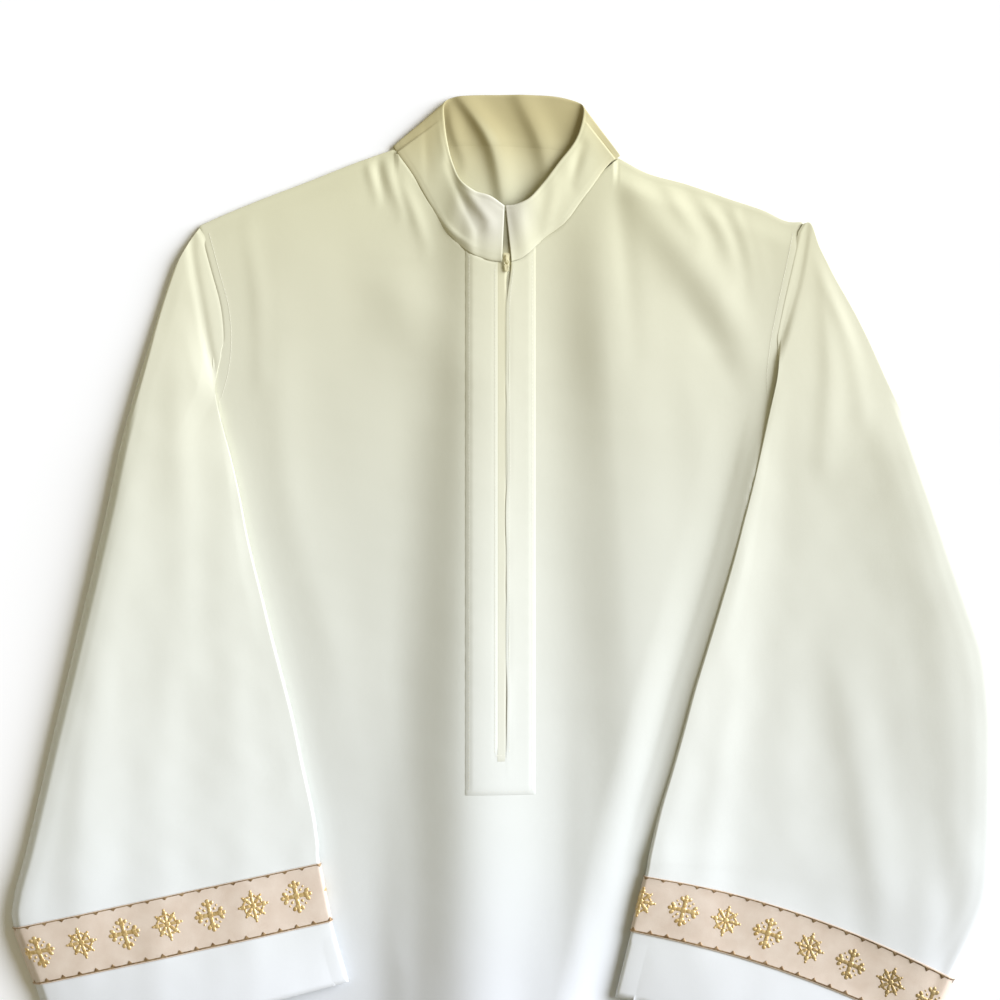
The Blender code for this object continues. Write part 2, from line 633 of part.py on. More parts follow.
def make_collar():
    """Stand collar: a strip from one front end round the back of the neck to the other."""
    table = columns(COLLAR)
    front_neck = body_grid(top_y, body_columns())[-1]
    back_neck = body_grid(back_top, back_columns())[-1]
    over_front = np.interp(table["seam_x"], front_neck[:, 0], front_neck[:, 1]) + COLLAR_CLEAR
    over_back = np.interp(table["seam_x"], back_neck[:, 0], back_neck[:, 1]) + SEAM_GAP
    on_back = table["seam_z"] < CLOTH
    seam_y = np.where(on_back, over_back, np.maximum(table["seam_y"], over_front))
    seam = np.stack([table["seam_x"], seam_y, table["seam_z"]], axis=1)
    edge = np.stack([table["edge_x"], table["edge_y"], table["edge_z"]], axis=1)
    shares = np.linspace(0.0, 1.0, 5)
    grid = np.array([seam + (edge - seam) * s for s in shares])
    along = np.gradient(grid, axis=1)
    up = np.gradient(grid, axis=0)
    normal = np.cross(along, up)
    normal /= np.linalg.norm(normal, axis=2)[..., None]
    half = CLOTH / 2.0
    return shell("collar", grid + normal * half, grid - normal * half)


def box_mesh(name, size, bevel):
    """Box with rounded edges, centred on its origin."""
    mesh = bpy.data.meshes.new(name)
    bm = bmesh.new()
    bmesh.ops.create_cube(bm, size=1.0)
    bmesh.ops.scale(bm, vec=size, verts=bm.verts)
    if bevel > 0.0:
        bmesh.ops.bevel(bm, geom=bm.edges, offset=bevel, segments=2, affect="EDGES", profile=0.6)
    bm.to_mesh(mesh)
    bm.free()
    return link(name, mesh)


def slider_base():
    """Height of the zip tape's upper side under the slider."""
    under = front_under(np.array([SLIT_LEFT, 9.0 * MM]), np.array([SLIDER_Y, SLIDER_Y]))
    return float(under.max()) - SEAM_GAP


def union(target, tool):
    """Boolean union of tool into target; tool is removed."""
    modifier = target.modifiers.new("join", "BOOLEAN")
    modifier.operation = "UNION"
    modifier.object = tool
    depsgraph = bpy.context.evaluated_depsgraph_get()
    mesh = bpy.data.meshes.new_from_object(target.evaluated_get(depsgraph))
    target.modifiers.clear()
    target.data = mesh
    bpy.data.objects.remove(tool, do_unlink=True)


def placed_box(name, low, high, bevel):
    """Box between two corners, its mesh in world coordinates."""
    size = [b - a for a, b in zip(low, high)]
    obj = box_mesh(name, size, bevel)
    centre = [(a + b) / 2.0 for a, b in zip(low, high)]
    for vertex in obj.data.vertices:
        vertex.co = [v + c for v, c in zip(vertex.co, centre)]
    return obj


def make_zip_slider():
    """Slider body with the arch that holds its pull tab."""
    wide, long, high = SLIDER_SIZE
    foot = slider_base() + SEAM_GAP
    top = foot + high
    body = placed_box(
        "zip_slider",
        (SLIDER_X - wide / 2.0, SLIDER_Y - long / 2.0, foot),
        (SLIDER_X + wide / 2.0, SLIDER_Y + long / 2.0, top),
        SLIDER_ROUND,
    )
    crown_x = (SLIDER_X - CROWN_WIDTH / 2.0, SLIDER_X + CROWN_WIDTH / 2.0)
    for sign in (-1.0, 1.0):
        a = SLIDER_Y + sign * CROWN_HALF
        b = SLIDER_Y + sign * (CROWN_HALF - CROWN_BAR)
        low, high_y = min(a, b), max(a, b)
        leg_low = (crown_x[0], low, top - CROWN_SINK)
        leg = placed_box("leg", leg_low, (crown_x[1], high_y, top + CROWN_HEIGHT), CROWN_ROUND)
        union(body, leg)
    bar_low = (crown_x[0], SLIDER_Y - CROWN_HALF, top + CROWN_HEIGHT - CROWN_BAR)
    bar_high = (crown_x[1], SLIDER_Y + CROWN_HALF, top + CROWN_HEIGHT)
    union(body, placed_box("bar", bar_low, bar_high, CROWN_ROUND))
    return body


def make_pull_tab():
    """Pull tab with an eye whose cross bar turns under the slider's arch; its origin is on the hinge."""
    shares = np.linspace(0.0, math.pi, 13)
    round_end = PULL_LENGTH - PULL_HALF
    outline = [(EYE_HALF, 0.0)]
    outline += [(PULL_HALF * math.cos(a), -round_end - PULL_HALF * math.sin(a)) for a in shares]
    outline += [(-EYE_HALF, 0.0)]
    mesh = bpy.data.meshes.new("pull_tab")
    bm = bmesh.new()
    low = [bm.verts.new((x, y, -PULL_THICK / 2.0)) for x, y in outline]
    high = [bm.verts.new((x, y, PULL_THICK / 2.0)) for x, y in outline]
    bm.faces.new(reversed(low))
    bm.faces.new(high)
    for i in range(len(outline)):
        j = (i + 1) % len(outline)
        bm.faces.new([low[i], low[j], high[j], high[i]])
    bmesh.ops.recalc_face_normals(bm, faces=bm.faces)
    bm.to_mesh(mesh)
    bm.free()
    tab = link("pull_tab", mesh)
    inner = EYE_HALF - PULL_ARM
    eye_low = (-inner, -PULL_EYE, -PULL_THICK)
    eye = placed_box("eye", eye_low, (inner, PULL_THICK, PULL_THICK), 0.0)
    modifier = tab.modifiers.new("eye", "BOOLEAN")
    modifier.operation = "DIFFERENCE"
    modifier.object = eye
    depsgraph = bpy.context.evaluated_depsgraph_get()
    cut = bpy.data.meshes.new_from_object(tab.evaluated_get(depsgraph))
    tab.modifiers.clear()
    tab.data = cut
    bpy.data.objects.remove(eye, do_unlink=True)
    pin = cross_bar(EYE_HALF - 0.1 * MM)
    union(tab, pin)
    tab.location = (SLIDER_X, SLIDER_Y, slider_base() + SEAM_GAP + SLIDER_SIZE[2] + PIN_HEIGHT)
    return tab


def cross_bar(half):
    """Cross bar of the pull tab, along X on the hinge axis."""
    mesh = bpy.data.meshes.new("cross_bar")
    bm = bmesh.new()
    bmesh.ops.create_cone(
        bm, cap_ends=True, segments=12, radius1=PIN_RADIUS, radius2=PIN_RADIUS, depth=2.0 * half
    )
    for vertex in bm.verts:
        x, y, z = vertex.co
        vertex.co = (z, y, -x)
    bm.to_mesh(mesh)
    bm.free()
    return link("cross_bar", mesh)


def main():
    for obj in list(bpy.data.objects):
        bpy.data.objects.remove(obj, do_unlink=True)
    cloth = material("cotton cloth", CLOTH_COLOUR, 0.85)
    ribbon = material("galloon ribbon", GALLOON_COLOUR, 0.6)
    for obj in (make_front(), make_back(), make_placket(), make_collar()):
        obj.data.materials.append(cloth)
    for side in ("right", "left"):
        make_sleeve(side).data.materials.append(cloth)
        make_galloon(side).data.materials.append(ribbon)
    tape = material("zip tape", ZIP_COLOUR, 0.8)
    make_zip_tape().data.materials.append(tape)
    enamel = material("enamelled metal", ZIP_COLOUR, 0.35, 0.3)
    for obj in (make_zip_slider(), make_pull_tab()):
        obj.data.materials.clear()
        obj.data.materials.append(enamel)


main()
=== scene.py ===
"""Looks of the alb robe: cloth shells with their creases, sewing, zip coil and the galloon's gold figures."""

import math

import bmesh
import bpy
import numpy as np
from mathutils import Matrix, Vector


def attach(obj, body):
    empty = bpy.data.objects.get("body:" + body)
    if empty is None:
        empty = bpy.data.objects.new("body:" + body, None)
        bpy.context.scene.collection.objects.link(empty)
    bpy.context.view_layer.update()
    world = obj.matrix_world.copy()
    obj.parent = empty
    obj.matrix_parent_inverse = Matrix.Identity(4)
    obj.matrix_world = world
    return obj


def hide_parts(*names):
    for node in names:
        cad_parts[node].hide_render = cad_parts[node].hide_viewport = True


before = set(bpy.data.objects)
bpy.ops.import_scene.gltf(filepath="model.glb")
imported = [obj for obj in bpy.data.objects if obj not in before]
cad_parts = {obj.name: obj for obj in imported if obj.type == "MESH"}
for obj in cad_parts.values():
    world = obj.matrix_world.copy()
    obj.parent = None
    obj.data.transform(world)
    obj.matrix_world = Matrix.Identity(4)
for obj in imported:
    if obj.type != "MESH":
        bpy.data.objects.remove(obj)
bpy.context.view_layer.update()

MM = 0.001
BODY = "robe"

# ---- sizes shared with the solids, metres ----
CLOTH = 1.5 * MM
RIBBON = 1.0 * MM
SEAM_GAP = 0.3 * MM
HEM_Y = -724.8 * MM
FRONT_REST = 3.6 * MM
FRONT_EDGE = 1.8 * MM
EDGE_ROLL = 22.0 * MM
SLIT_LEFT = -7.0 * MM
SLIT_RIGHT = 0.6 * MM
SLIT_FOOT = 186.0 * MM
SLIT_SPREAD = 4.0 * MM      # how far the slider parts the opening's two edges, and over what length
SPREAD_LENGTH = 22.0 * MM
PLACKET_LEFT = -33.0 * MM
PLACKET_RIGHT = 24.0 * MM
PLACKET_FOOT = 151.0 * MM
TAPE_LEFT = -17.0 * MM
TAPE_RIGHT = 9.0 * MM
SLEEVE_EDGE = 3.5 * MM
SLEEVE_OVER_BODY = 5.8 * MM
SLEEVE_ON_FLOOR = 1.7 * MM
GALLOON_ROOM = 2.0 * MM
ARMHOLE_UNDER = 1.8 * MM
CUFF_FLARE = 0.8
OUTER_ROLL = 8.0 * MM
SLEEVE_FADE = 50.0 * MM
UNDER_CUFFS_Y = -105.0 * MM
UNDER_CUFFS_FADE = 120.0 * MM
GALLOON_CLEAR = 0.4 * MM

# the body's side edges: how far each lies from the centre line
SIDE = (
    ("y", "wearers_right", "wearers_left"),
    (620, 252.4, 243.6),
    (585, 243, 236.5),
    (548, 233.5, 228.5),
    (515, 232, 222.5),
    (482, 238, 220.5),
    (450, 252, 229),
    (420, 269, 251),
    (376, 290, 290),
    (200, 309, 309),
    (-200, 347, 347),
    (-724.8, 398, 398),
)
# the front's upper edge in three runs: shoulder, neck, shoulder
SHOULDER_RIGHT = (
    ("x", "y"),
    (-251.5, 617),
    (-237, 623.5),
    (-205.8, 636.5),
    (-164, 652.5),
    (-122.2, 669),
    (-91.8, 679.8),
)
NECK = (
    ("x", "y"),
    (-91.8, 679.8),
    (-76, 658),
    (-61.5, 634),
    (-46.7, 610.5),
    (-31.2, 595.5),
    (-16.4, 589),
    (-7, 587),
    (0.6, 587),
    (13.9, 591.5),
    (28.7, 604.5),
    (47.6, 618.5),
    (62.3, 638),
    (77, 658.5),
    (92.7, 672.4),
)
SHOULDER_LEFT = (
    ("x", "y"),
    (92.7, 672.4),
    (112.3, 661.7),
    (148.4, 651),
    (186.1, 638),
    (210.7, 629.8),
    (233.7, 620),
    (243.6, 620),
)
BACK_NECK = (("x", "y"), (-91.8, 681), (0, 685.6), (92.7, 674))
# the collar from the wearer's right front end round the back to the left front end: seam and top edge
COLLAR = (
    ("seam_x", "seam_y", "seam_z", "edge_x", "edge_y", "edge_z"),
    (-3.2, 588.2, 8, -1.2, 633, 12),
    (-16.4, 590.2, 5.2, -13, 641, 12.5),
    (-31, 596.8, 4.9, -26, 645.5, 11.5),
    (-46.4, 611.4, 4.7, -37.5, 655, 9.5),
    (-61.2, 635, 4.5, -43.5, 668, 7.4),
    (-75.4, 658.6, 4.4, -47.5, 683, 6.2),
    (-86, 673, 4.2, -50, 700, 5.4),
    (-91.2, 681.6, 2.6, -50.5, 716.5, 5),
    (-84, 682.2, 0.8, -44, 722.5, 1.6),
    (-50, 683.6, 0.8, -26, 724.5, 1.6),
    (-16, 685.2, 0.8, -7, 724.8, 1.6),
    (16, 684, 0.8, 14, 724.8, 1.6),
    (50, 679.8, 0.8, 40, 723.6, 1.6),
    (84, 675.6, 0.8, 58.5, 719, 1.8),
    (92.4, 674.6, 2.6, 63.5, 713.5, 5),
    (84.5, 668.4, 4.2, 61.5, 699, 7.5),
    (76.8, 659.4, 4.4, 55.5, 684.5, 8.5),
    (62, 639.2, 4.6, 43, 668.5, 9.5),
    (47.2, 619.6, 4.8, 31.5, 653, 11),
    (28.4, 605.6, 5, 19.5, 639.5, 13),
    (13.8, 592.6, 5.3, 8, 634, 12.5),
    (4.4, 588.6, 8, -0.4, 633, 12),
)
# the sleeves from armhole to cuff: outer edge, inner edge, how far the line between them bows to the collar,
# and the height of the sleeve at its middle
SLEEVE_RIGHT = (
    ("outer_x", "outer_y", "inner_x", "inner_y", "bow", "rise"),
    (-251.6, 616, -232.3, 515, 0, 3.5),
    (-260.8, 602.7, -237.4, 495, 4, 3.8),
    (-273.1, 580.6, -238.6, 477.5, 6, 4.2),
    (-282.9, 551.9, -232.9, 453.5, 6, 4.8),
    (-293.6, 518.2, -226.3, 429.7, 5, 5.6),
    (-304.2, 483, -218.9, 398.5, 4, 6.5),
    (-316.5, 437.9, -212.4, 364.9, 3, 7.3),
    (-327.2, 387.9, -205.8, 337, 2, 8),
    (-337.8, 341.1, -198.4, 308.3, 1, 8.5),
    (-350.1, 289.5, -191.1, 278.8, 0, 8.5),
    (-360.8, 244.4, -182.9, 247.6, 0, 8.5),
    (-372.3, 196.8, -173.8, 211.6, 0, 8.5),
    (-383.8, 147.6, -165.6, 172.2, 0, 8.5),
    (-395.2, 100, -157.4, 136.1, 0, 9),
    (-404.2, 66, -153.6, 110.7, 0, 9.5),
    (-404.5, 41.8, -152.5, 95.1, 0, 10),
    (-387, -5.7, -142.7, 46.7, 0, 11.5),
    (-368.2, -61.5, -128.7, -2.5, 0, 12.5),
)
SLEEVE_LEFT = (
    ("outer_x", "outer_y", "inner_x", "inner_y", "bow", "rise"),
    (243.8, 619, 222.9, 515, 0, 3.5),
    (251, 618.5, 223.4, 512, 2, 3.7),
    (258, 599, 224, 508, 4, 4),
    (272, 573, 222.2, 490.4, 6, 4.5),
    (288, 545, 215.7, 461.7, 8, 5.2),
    (301, 520, 209.1, 433, 9, 6),
    (315.7, 488.7, 201.7, 401.8, 9, 7.2),
    (330.5, 455.9, 194.3, 373.9, 9, 8.6),
    (343.6, 419.8, 186.1, 342.8, 9, 10.2),
    (359.2, 375.6, 175.5, 306.7, 9, 11.8),
    (372.3, 337.8, 164, 269, 9, 13.2),
    (386.2, 300.1, 153.3, 234.5, 9, 14.4),
    (397.7, 264.9, 143.5, 198.4, 9, 15.4),
    (403.6, 218.1, 134.5, 167.3, 9, 16),
    (404.6, 165.6, 126.3, 140.2, 9, 16),
    (403.6, 113.2, 119.7, 113.2, 10, 16),
    (397.7, 59.9, 116.4, 98.4, 11, 15.5),
    (368.2, 0, 114, 84.5, 11, 14),
    (350.1, -46.7, 102.5, 38.5, 10, 14),
    (332.1, -93.5, 89.4, -14.8, 8, 14.5),
)
GALLOON_ROWS = (-3, -2)     # the galloon lies between these two rows of the sleeves' tables
# height of each sleeve's upper layer across it, as a share of its rise
ACROSS = (
    ("share", "wearers_right", "wearers_left"),
    (0.000, 0.00, 0.00),
    (0.012, 0.55, 0.66),
    (0.030, 0.74, 0.88),
    (0.065, 0.92, 0.99),
    (0.120, 1.00, 0.97),
    (0.260, 1.00, 0.60),
    (0.450, 0.85, 0.20),
    (0.600, 0.72, -0.04),
    (0.720, 0.62, -0.10),
    (0.860, 0.50, 0.05),
    (0.970, 0.38, 0.22),
    (1.000, 0.34, 0.22),
)

# folds, each a soft ridge through three points from top to bottom, mm: y, x and height of each point, then
# its reach to the left at its top and at its bottom, its reach to the right, and how it fades past its ends
FOLD_COLUMNS = (
    "y1", "x1", "high1", "y2", "x2", "high2", "y3", "x3", "high3", "left1", "left3", "right", "fade"
)
MAIN_FOLDS = (
    (612, -26, 5, 60, -32, 15.5, -725, -30, 14, 22, 84, 50, 60),
    (590, 80, 4.6, 300, 101, 6, -725, 136, 9, 28, 64, 58, 60),
    (570, 86, 1, 523, 88, 2.5, 460, 94, 0.8, 30, 34, 60, 20),
    (640, 114, 3, 575, 162, 4.2, 520, 202, 2.6, 22, 24, 26, 22),
    (612, 205, 1.5, 585, 214, 2.6, 540, 221, 1.5, 10, 11, 9, 14),
    (585, -90, 0.6, 556, -82, 2.2, 505, -64, 1, 30, 26, 34, 14),
    (300, -150, 0.6, 0, -122, 2.6, -725, -150, 11, 44, 50, 52, 90),
    (-120, -204, 3, -400, -232, 7, -725, -262, 9, 30, 40, 32, 90),
    (-140, 206, 3, -420, 230, 7, -725, 254, 10, 26, 34, 38, 90),
    (-80, 36, 2, -400, 44, 6, -725, 52, 8, 20, 24, 26, 90),
)
# finer creases of the front; a negative height is a trough
CREASES = (
    (676, -116, 0.8, 662, -112, 1, 640, -106, 0.4, 3, 4, 3.5, 6),
    (672, -106, -0.7, 660, -104, -0.9, 642, -100, -0.3, 2.5, 3, 3, 6),
    (668, -98, 0.7, 652, -94, 1.2, 628, -86, 0.5, 3.5, 5, 4.5, 8),
    (650, -84, 0.6, 630, -76, 1.2, 600, -66, 0.4, 4.5, 6, 6, 10),
    (640, 92, -0.8, 590, 98, -1, 520, 104, -0.4, 8, 10, 10, 20),
    (660, 128, 0.6, 632, 142, 1.4, 606, 160, 0.7, 7, 8, 10, 10),
    (640, 160, 0.8, 612, 178, 1.8, 576, 190, 0.7, 8, 9, 7, 10),
    (628, 188, 0.9, 600, 198, 1.3, 560, 206, 0.7, 6, 7, 5, 10),
    (556, 150, -0.5, 520, 172, -1, 470, 200, -0.4, 12, 14, 16, 16),
    (500, 150, 0.5, 450, 158, 0.9, 380, 166, 0.3, 14, 20, 18, 30),
    (612, -214, 0.6, 570, -206, 1, 500, -202, 0.6, 6, 8, 9, 16),
    (560, -190, 0.3, 500, -184, 0.6, 400, -180, 0.3, 12, 14, 16, 40),
    (470, -196, 0.4, 380, -178, 0.7, 250, -140, 0.4, 16, 20, 18, 40),
    (420, -100, 0.2, 300, -104, 0.6, 60, -92, 0.6, 20, 22, 16, 60),
    (160, 62, 0.3, 0, 60, 0.9, -400, 58, 0.8, 10, 20, 12, 90),
    (190, -92, -0.6, 60, -99, -2.5, -480, -118, -0.5, 40, 50, 46, 80),
    (215, 34, 1, 40, 46, 6.1, -560, 60, 0.5, 58, 80, 96, 50),
    (190, 130, 1, 40, 134, 6.1, -560, 152, 0.5, 58, 76, 50, 60),
    (100, -84, 0.4, -60, -92, 1.2, -400, -98, 0.6, 14, 22, 14, 90),
)
# folds inside the neck, and crumples of the collar's two wings
NECK_FOLDS = (
    (724, -38, 2.4, 690, -15, 4.6, 640, -2, 3.2, 6, 6, 14, 10),
    (722, 12, 1.8, 685, 29, 3.2, 652, 37, 2.4, 8, 8, 13, 10),
    (716, -46, 0.8, 700, -44, 1.6, 670, -34, 0.8, 4, 4, 8, 10),
)
WING_CREASES = (
    (692, -65.6, -0.3, 675, -65, -0.45, 657, -64, -0.2, 3.4, 3.4, 6, 8),
    (712, -51.5, 0.4, 694, -52, 0.6, 674, -50.5, 0.3, 4, 4, 3.5, 8),
    (668, -47, -0.8, 640, -36, -1.8, 612, -23, -0.8, 4, 4, 8, 8),
    (655, -36, 0.6, 640, -29, 1.6, 620, -14, 0.8, 5, 5, 6, 8),
    (628, -60, 0.5, 612, -46, 1.2, 600, -30, 0.5, 5, 5, 5, 5),
    (682, 62, -0.8, 668, 58, -1.4, 652, 54, -0.5, 5, 5, 5, 8),
    (650, 40, 0.4, 630, 36, 0.9, 612, 33, 0.4, 6, 6, 6, 8),
    (640, 12, 0.5, 622, 12, 0.9, 604, 14, 0.4, 6, 6, 6, 8),
)
# folds of the sleeve on the wearer's left and on the right
LEFT_SLEEVE_FOLDS = (
    (330, 264, 0.4, 146, 294, 2.2, 60, 308, 1.6, 18, 16, 22, 45),
    (420, 246, 0.8, 250, 236, 1.2, 90, 218, 0.6, 22, 26, 24, 60),
    (560, 262, 0.8, 500, 266, 1.6, 430, 262, 0.8, 7, 10, 12, 20),
    (590, 258, 0.8, 540, 276, 1.4, 470, 292, 0.8, 6, 9, 8, 18),
    (140, 352, -0.5, 60, 360, -1.3, -20, 352, -1.5, 14, 12, 14, 40),
    (300, 188, 0.5, 180, 176, 1, 60, 160, 0.6, 12, 16, 14, 50),
)
RIGHT_SLEEVE_FOLDS = (
    (560, -270, 0.6, 440, -268, 1.3, 260, -262, 0.5, 12, 18, 14, 40),
    (470, -292, 0.5, 300, -329, 1.2, 90, -347, 2, 12, 18, 22, 60),
    (380, -232, 0.5, 220, -224, 1.1, 20, -206, 0.7, 20, 24, 20, 60),
    (250, -280, 0.4, 120, -284, 1, -20, -282, 0.8, 18, 22, 16, 60),
)
# where each sleeve folds over its own cloth beside the armhole seam
OVERFOLD_RIGHT = (
    ("y", "x"),
    (616, -262),
    (601, -262),
    (550.2, -254),
    (515, -248),
    (483, -240),
)
OVERFOLD_LEFT = (
    ("y", "x"),
    (620, 250),
    (585.5, 245),
    (564, 240.5),
    (543.7, 234.5),
    (525, 228.5),
    (507, 222.5),
    (480, 216),
)


# ---------------------------------------------------------------- curves and heights
def columns(table):
    """The named columns of a table, in metres."""
    rows = np.array(table[1:], dtype=float) * MM
    return {name: rows[:, i] for i, name in enumerate(table[0])}


def by_side(table):
    """The rows of a table as named values, one set for each side."""
    return {row[0]: dict(zip(table[0][1:], row[1:])) for row in table[1:]}


def smooth(t):
    """Smooth step from 0 to 1."""
    t = np.clip(t, 0.0, 1.0)
    return t * t * (3.0 - 2.0 * t)


def bell(t):
    """Bell curve, 1 at 0."""
    return np.exp(-(t ** 2))


def spline(x, xs, ys):
    """Smooth curve through the points (xs, ys), xs in either order, level past its ends."""
    xs, ys = np.asarray(xs, float), np.asarray(ys, float)
    order = np.argsort(xs)
    xs, ys = xs[order], ys[order]
    slope = np.gradient(ys, xs)
    x = np.clip(x, xs[0], xs[-1])
    i = np.clip(np.searchsorted(xs, x) - 1, 0, len(xs) - 2)
    h = xs[i + 1] - xs[i]
    t = (x - xs[i]) / h
    a = (1.0 + 2.0 * t) * (1.0 - t) ** 2
    b = t * (1.0 - t) ** 2
    c = t * t * (3.0 - 2.0 * t)
    d = t * t * (t - 1.0)
    return a * ys[i] + b * h * slope[i] + c * ys[i + 1] + d * h * slope[i + 1]


SIDE_M = columns(SIDE)
RUNS = [columns(t) for t in (SHOULDER_RIGHT, NECK, SHOULDER_LEFT)]
BACK_NECK_M = columns(BACK_NECK)
SLEEVE_TABLES = {"right": columns(SLEEVE_RIGHT), "left": columns(SLEEVE_LEFT)}
OVERFOLDS = {"right": columns(OVERFOLD_RIGHT), "left": columns(OVERFOLD_LEFT)}
NECK_LOW_Y = 587.0 * MM
NECK_HALF = 90.0 * MM       # half the neck's width at the shoulders
SIDE_TOP = 380.0 * MM       # where the side seams end at the armholes
FAR = 1.0                   # a distance that no edge is within
BESIDE = 0.1 * MM           # allowance when columns and rows are compared with an edge


def side_x(y, wearers_left):
    """x of the body's side edge at height y."""
    if wearers_left:
        return spline(y, SIDE_M["y"], SIDE_M["wearers_left"])
    return -spline(y, SIDE_M["y"], SIDE_M["wearers_right"])


def outside(x, y):
    """Distance in x from the body's side edge, positive outside it."""
    return np.maximum(x - side_x(y, True), side_x(y, False) - x)


def top_y(x):
    """y of the front's upper edge at x."""
    x = np.asarray(x, float)
    right, neck, left = (spline(x, run["x"], run["y"]) for run in RUNS)
    return np.where(x < RUNS[1]["x"][0], right, np.where(x > RUNS[1]["x"][-1], left, neck))


def back_top(x):
    """y of the back's upper edge at x."""
    x = np.asarray(x, float)
    neck = spline(x, BACK_NECK_M["x"], BACK_NECK_M["y"])
    return np.where((x > RUNS[1]["x"][0]) & (x < RUNS[1]["x"][-1]), neck, top_y(x))


def fold_height(x, y, table):
    """Height that a table of folds adds at (x, y)."""
    total = np.zeros_like(x)
    for row in table:
        fold = {name: value * MM for name, value in zip(FOLD_COLUMNS, row)}
        ys = [fold["y3"], fold["y2"], fold["y1"]]
        ridge = spline(y, ys, [fold["x3"], fold["x2"], fold["x1"]])
        high = spline(y, ys, [fold["high3"], fold["high2"], fold["high1"]])
        left = np.interp(y, [fold["y3"], fold["y1"]], [fold["left3"], fold["left1"]])
        width = np.where(x < ridge, left, fold["right"])
        past = np.clip(y - fold["y1"], 0.0, None) + np.clip(fold["y3"] - y, 0.0, None)
        total += high * bell((x - ridge) / width) * bell(past / fold["fade"])
    return total


def waves(x, y, seed, count, longest, shortest, height):
    """Sum of random soft waves: the small unevenness of cloth."""
    rng = np.random.default_rng(seed)
    total = np.zeros_like(x)
    for _ in range(count):
        angle = rng.uniform(0.0, math.pi)
        length = longest * (shortest / longest) ** rng.uniform(0.0, 1.0)
        phase = rng.uniform(0.0, 2.0 * math.pi)
        k = 2.0 * math.pi / length
        size = height * length / longest
        total += size * np.sin(k * (x * math.cos(angle) + y * math.sin(angle)) + phase)
    return total / math.sqrt(count)


def inner_edge_x(y, side):
    """x of a sleeve's inner edge where it lies on the front."""
    table = SLEEVE_TABLES[side]
    return spline(y, table["inner_y"], table["inner_x"])


def pressed(x, y):
    """0 where a sleeve presses the front flat, 1 in the open, with no corner between the two."""
    clear = np.minimum(x - inner_edge_x(y, "right"), inner_edge_x(y, "left") - x)
    beside = 1.0 - smooth(clear / SLEEVE_FADE)
    above = 1.0 - smooth((UNDER_CUFFS_Y - y) / UNDER_CUFFS_FADE)
    both = beside * above
    return 1.0 - both / np.sqrt(np.maximum(beside**2 + above**2 - both**2, 1e-9))


def below_shoulder(x, y):
    """Distance in y below the shoulder's edge; far under the neck."""
    return np.where(np.abs(x) > NECK_HALF, top_y(x) - y, FAR)


def front_under(x, y):
    """Underside of the front at (x, y), on its solid's form."""
    side = np.where(y < SIDE_TOP, -outside(x, y), FAR)
    roll = smooth(np.minimum(below_shoulder(x, y), side) / EDGE_ROLL)
    rest = FRONT_EDGE + (FRONT_REST - FRONT_EDGE) * roll
    return rest + fold_height(x, y, MAIN_FOLDS) * pressed(x, y) * roll


SHOULDER_ROLL = 10.0 * MM   # how far below the shoulder's edge the creases begin
ARMHOLE_FOOT_Y = 400.0 * MM
LEFT_SEAM_DIP = 0.3 * MM    # how far the front drops at the armhole seam on the wearer's left
HEM_WIDTH = 26.0 * MM


def felled_seam(distance, width=8.0 * MM, height=0.5 * MM, groove_depth=0.25 * MM):
    """Raised strip of a felled seam beside an edge, with a groove at its stitching."""
    strip = smooth((width - distance) / (1.6 * MM))
    groove = bell((distance - (width - 1.8 * MM)) / (0.8 * MM))
    return height * strip - groove_depth * groove


# how far the front climbs to each sleeve's inner edge and over what width, then the stretch along Y where it
# does: its top, how it fades there, its foot and how it fades there, mm
SLEEVE_CLIMB = by_side((
    ("side", "climb", "reach", "top", "top_fade", "foot", "foot_fade"),
    ("left", 4.6, 18.0, 484.0, 70.0, 55.0, 110.0),
    ("right", 0.5, 12.0, 470.0, 50.0, -30.0, 90.0),
))
CLIMB_FOOT = 0.12           # roundness where that climb begins, as a share of it


def beside_sleeve(x, y, side):
    """Height of the front at a sleeve's inner edge, falling away beside it and under it."""
    form = {name: value * MM for name, value in SLEEVE_CLIMB[side].items()}
    edge_x = inner_edge_x(y, side)
    gap = edge_x - x if side == "left" else x - edge_x
    beside = np.clip(1.0 - gap / form["reach"], 0.0, 1.0)
    beside = beside + CLIMB_FOOT * bell((gap - form["reach"] * 0.9) / (form["reach"] * 0.3))
    under = smooth((gap + 3.0 * MM) / (2.4 * MM))
    along = smooth((form["top"] - y) / form["top_fade"]) * smooth((y - form["foot"]) / form["foot_fade"])
    return form["climb"] * beside * under * along


def front_surface(x, y):
    """Upper side of the front with its creases, seams and hem."""
    open_share = pressed(x, y) * smooth(below_shoulder(x, y) / SHOULDER_ROLL)
    uneven = waves(x, y, seed=4, count=26, longest=150.0 * MM, shortest=26.0 * MM, height=0.26 * MM)
    z = front_under(x, y) + CLOTH + (fold_height(x, y, CREASES) * open_share + uneven * open_share)
    z = z + beside_sleeve(x, y, "left") + beside_sleeve(x, y, "right")
    inward = -outside(x, y)
    seam = felled_seam(inward, height=0.08 * MM, groove_depth=0.06 * MM)
    seam = seam - LEFT_SEAM_DIP * (1.0 - smooth(inward / (6.0 * MM))) * (x > 0.0)
    at_armhole = smooth((y - ARMHOLE_FOOT_Y) / (40.0 * MM))
    return z + seam * at_armhole + felled_seam(y - HEM_Y, HEM_WIDTH, 0.4 * MM)


# ---------------------------------------------------------------- meshes
def mesh_object(name, verts, faces):
    """Smooth-shaded object from points and faces."""
    mesh = bpy.data.meshes.new(name)
    mesh.from_pydata([tuple(v) for v in verts], [], [tuple(int(i) for i in f) for f in faces])
    mesh.validate()
    mesh.shade_smooth()
    obj = bpy.data.objects.new(name, mesh)
    bpy.context.scene.collection.objects.link(obj)
    return obj


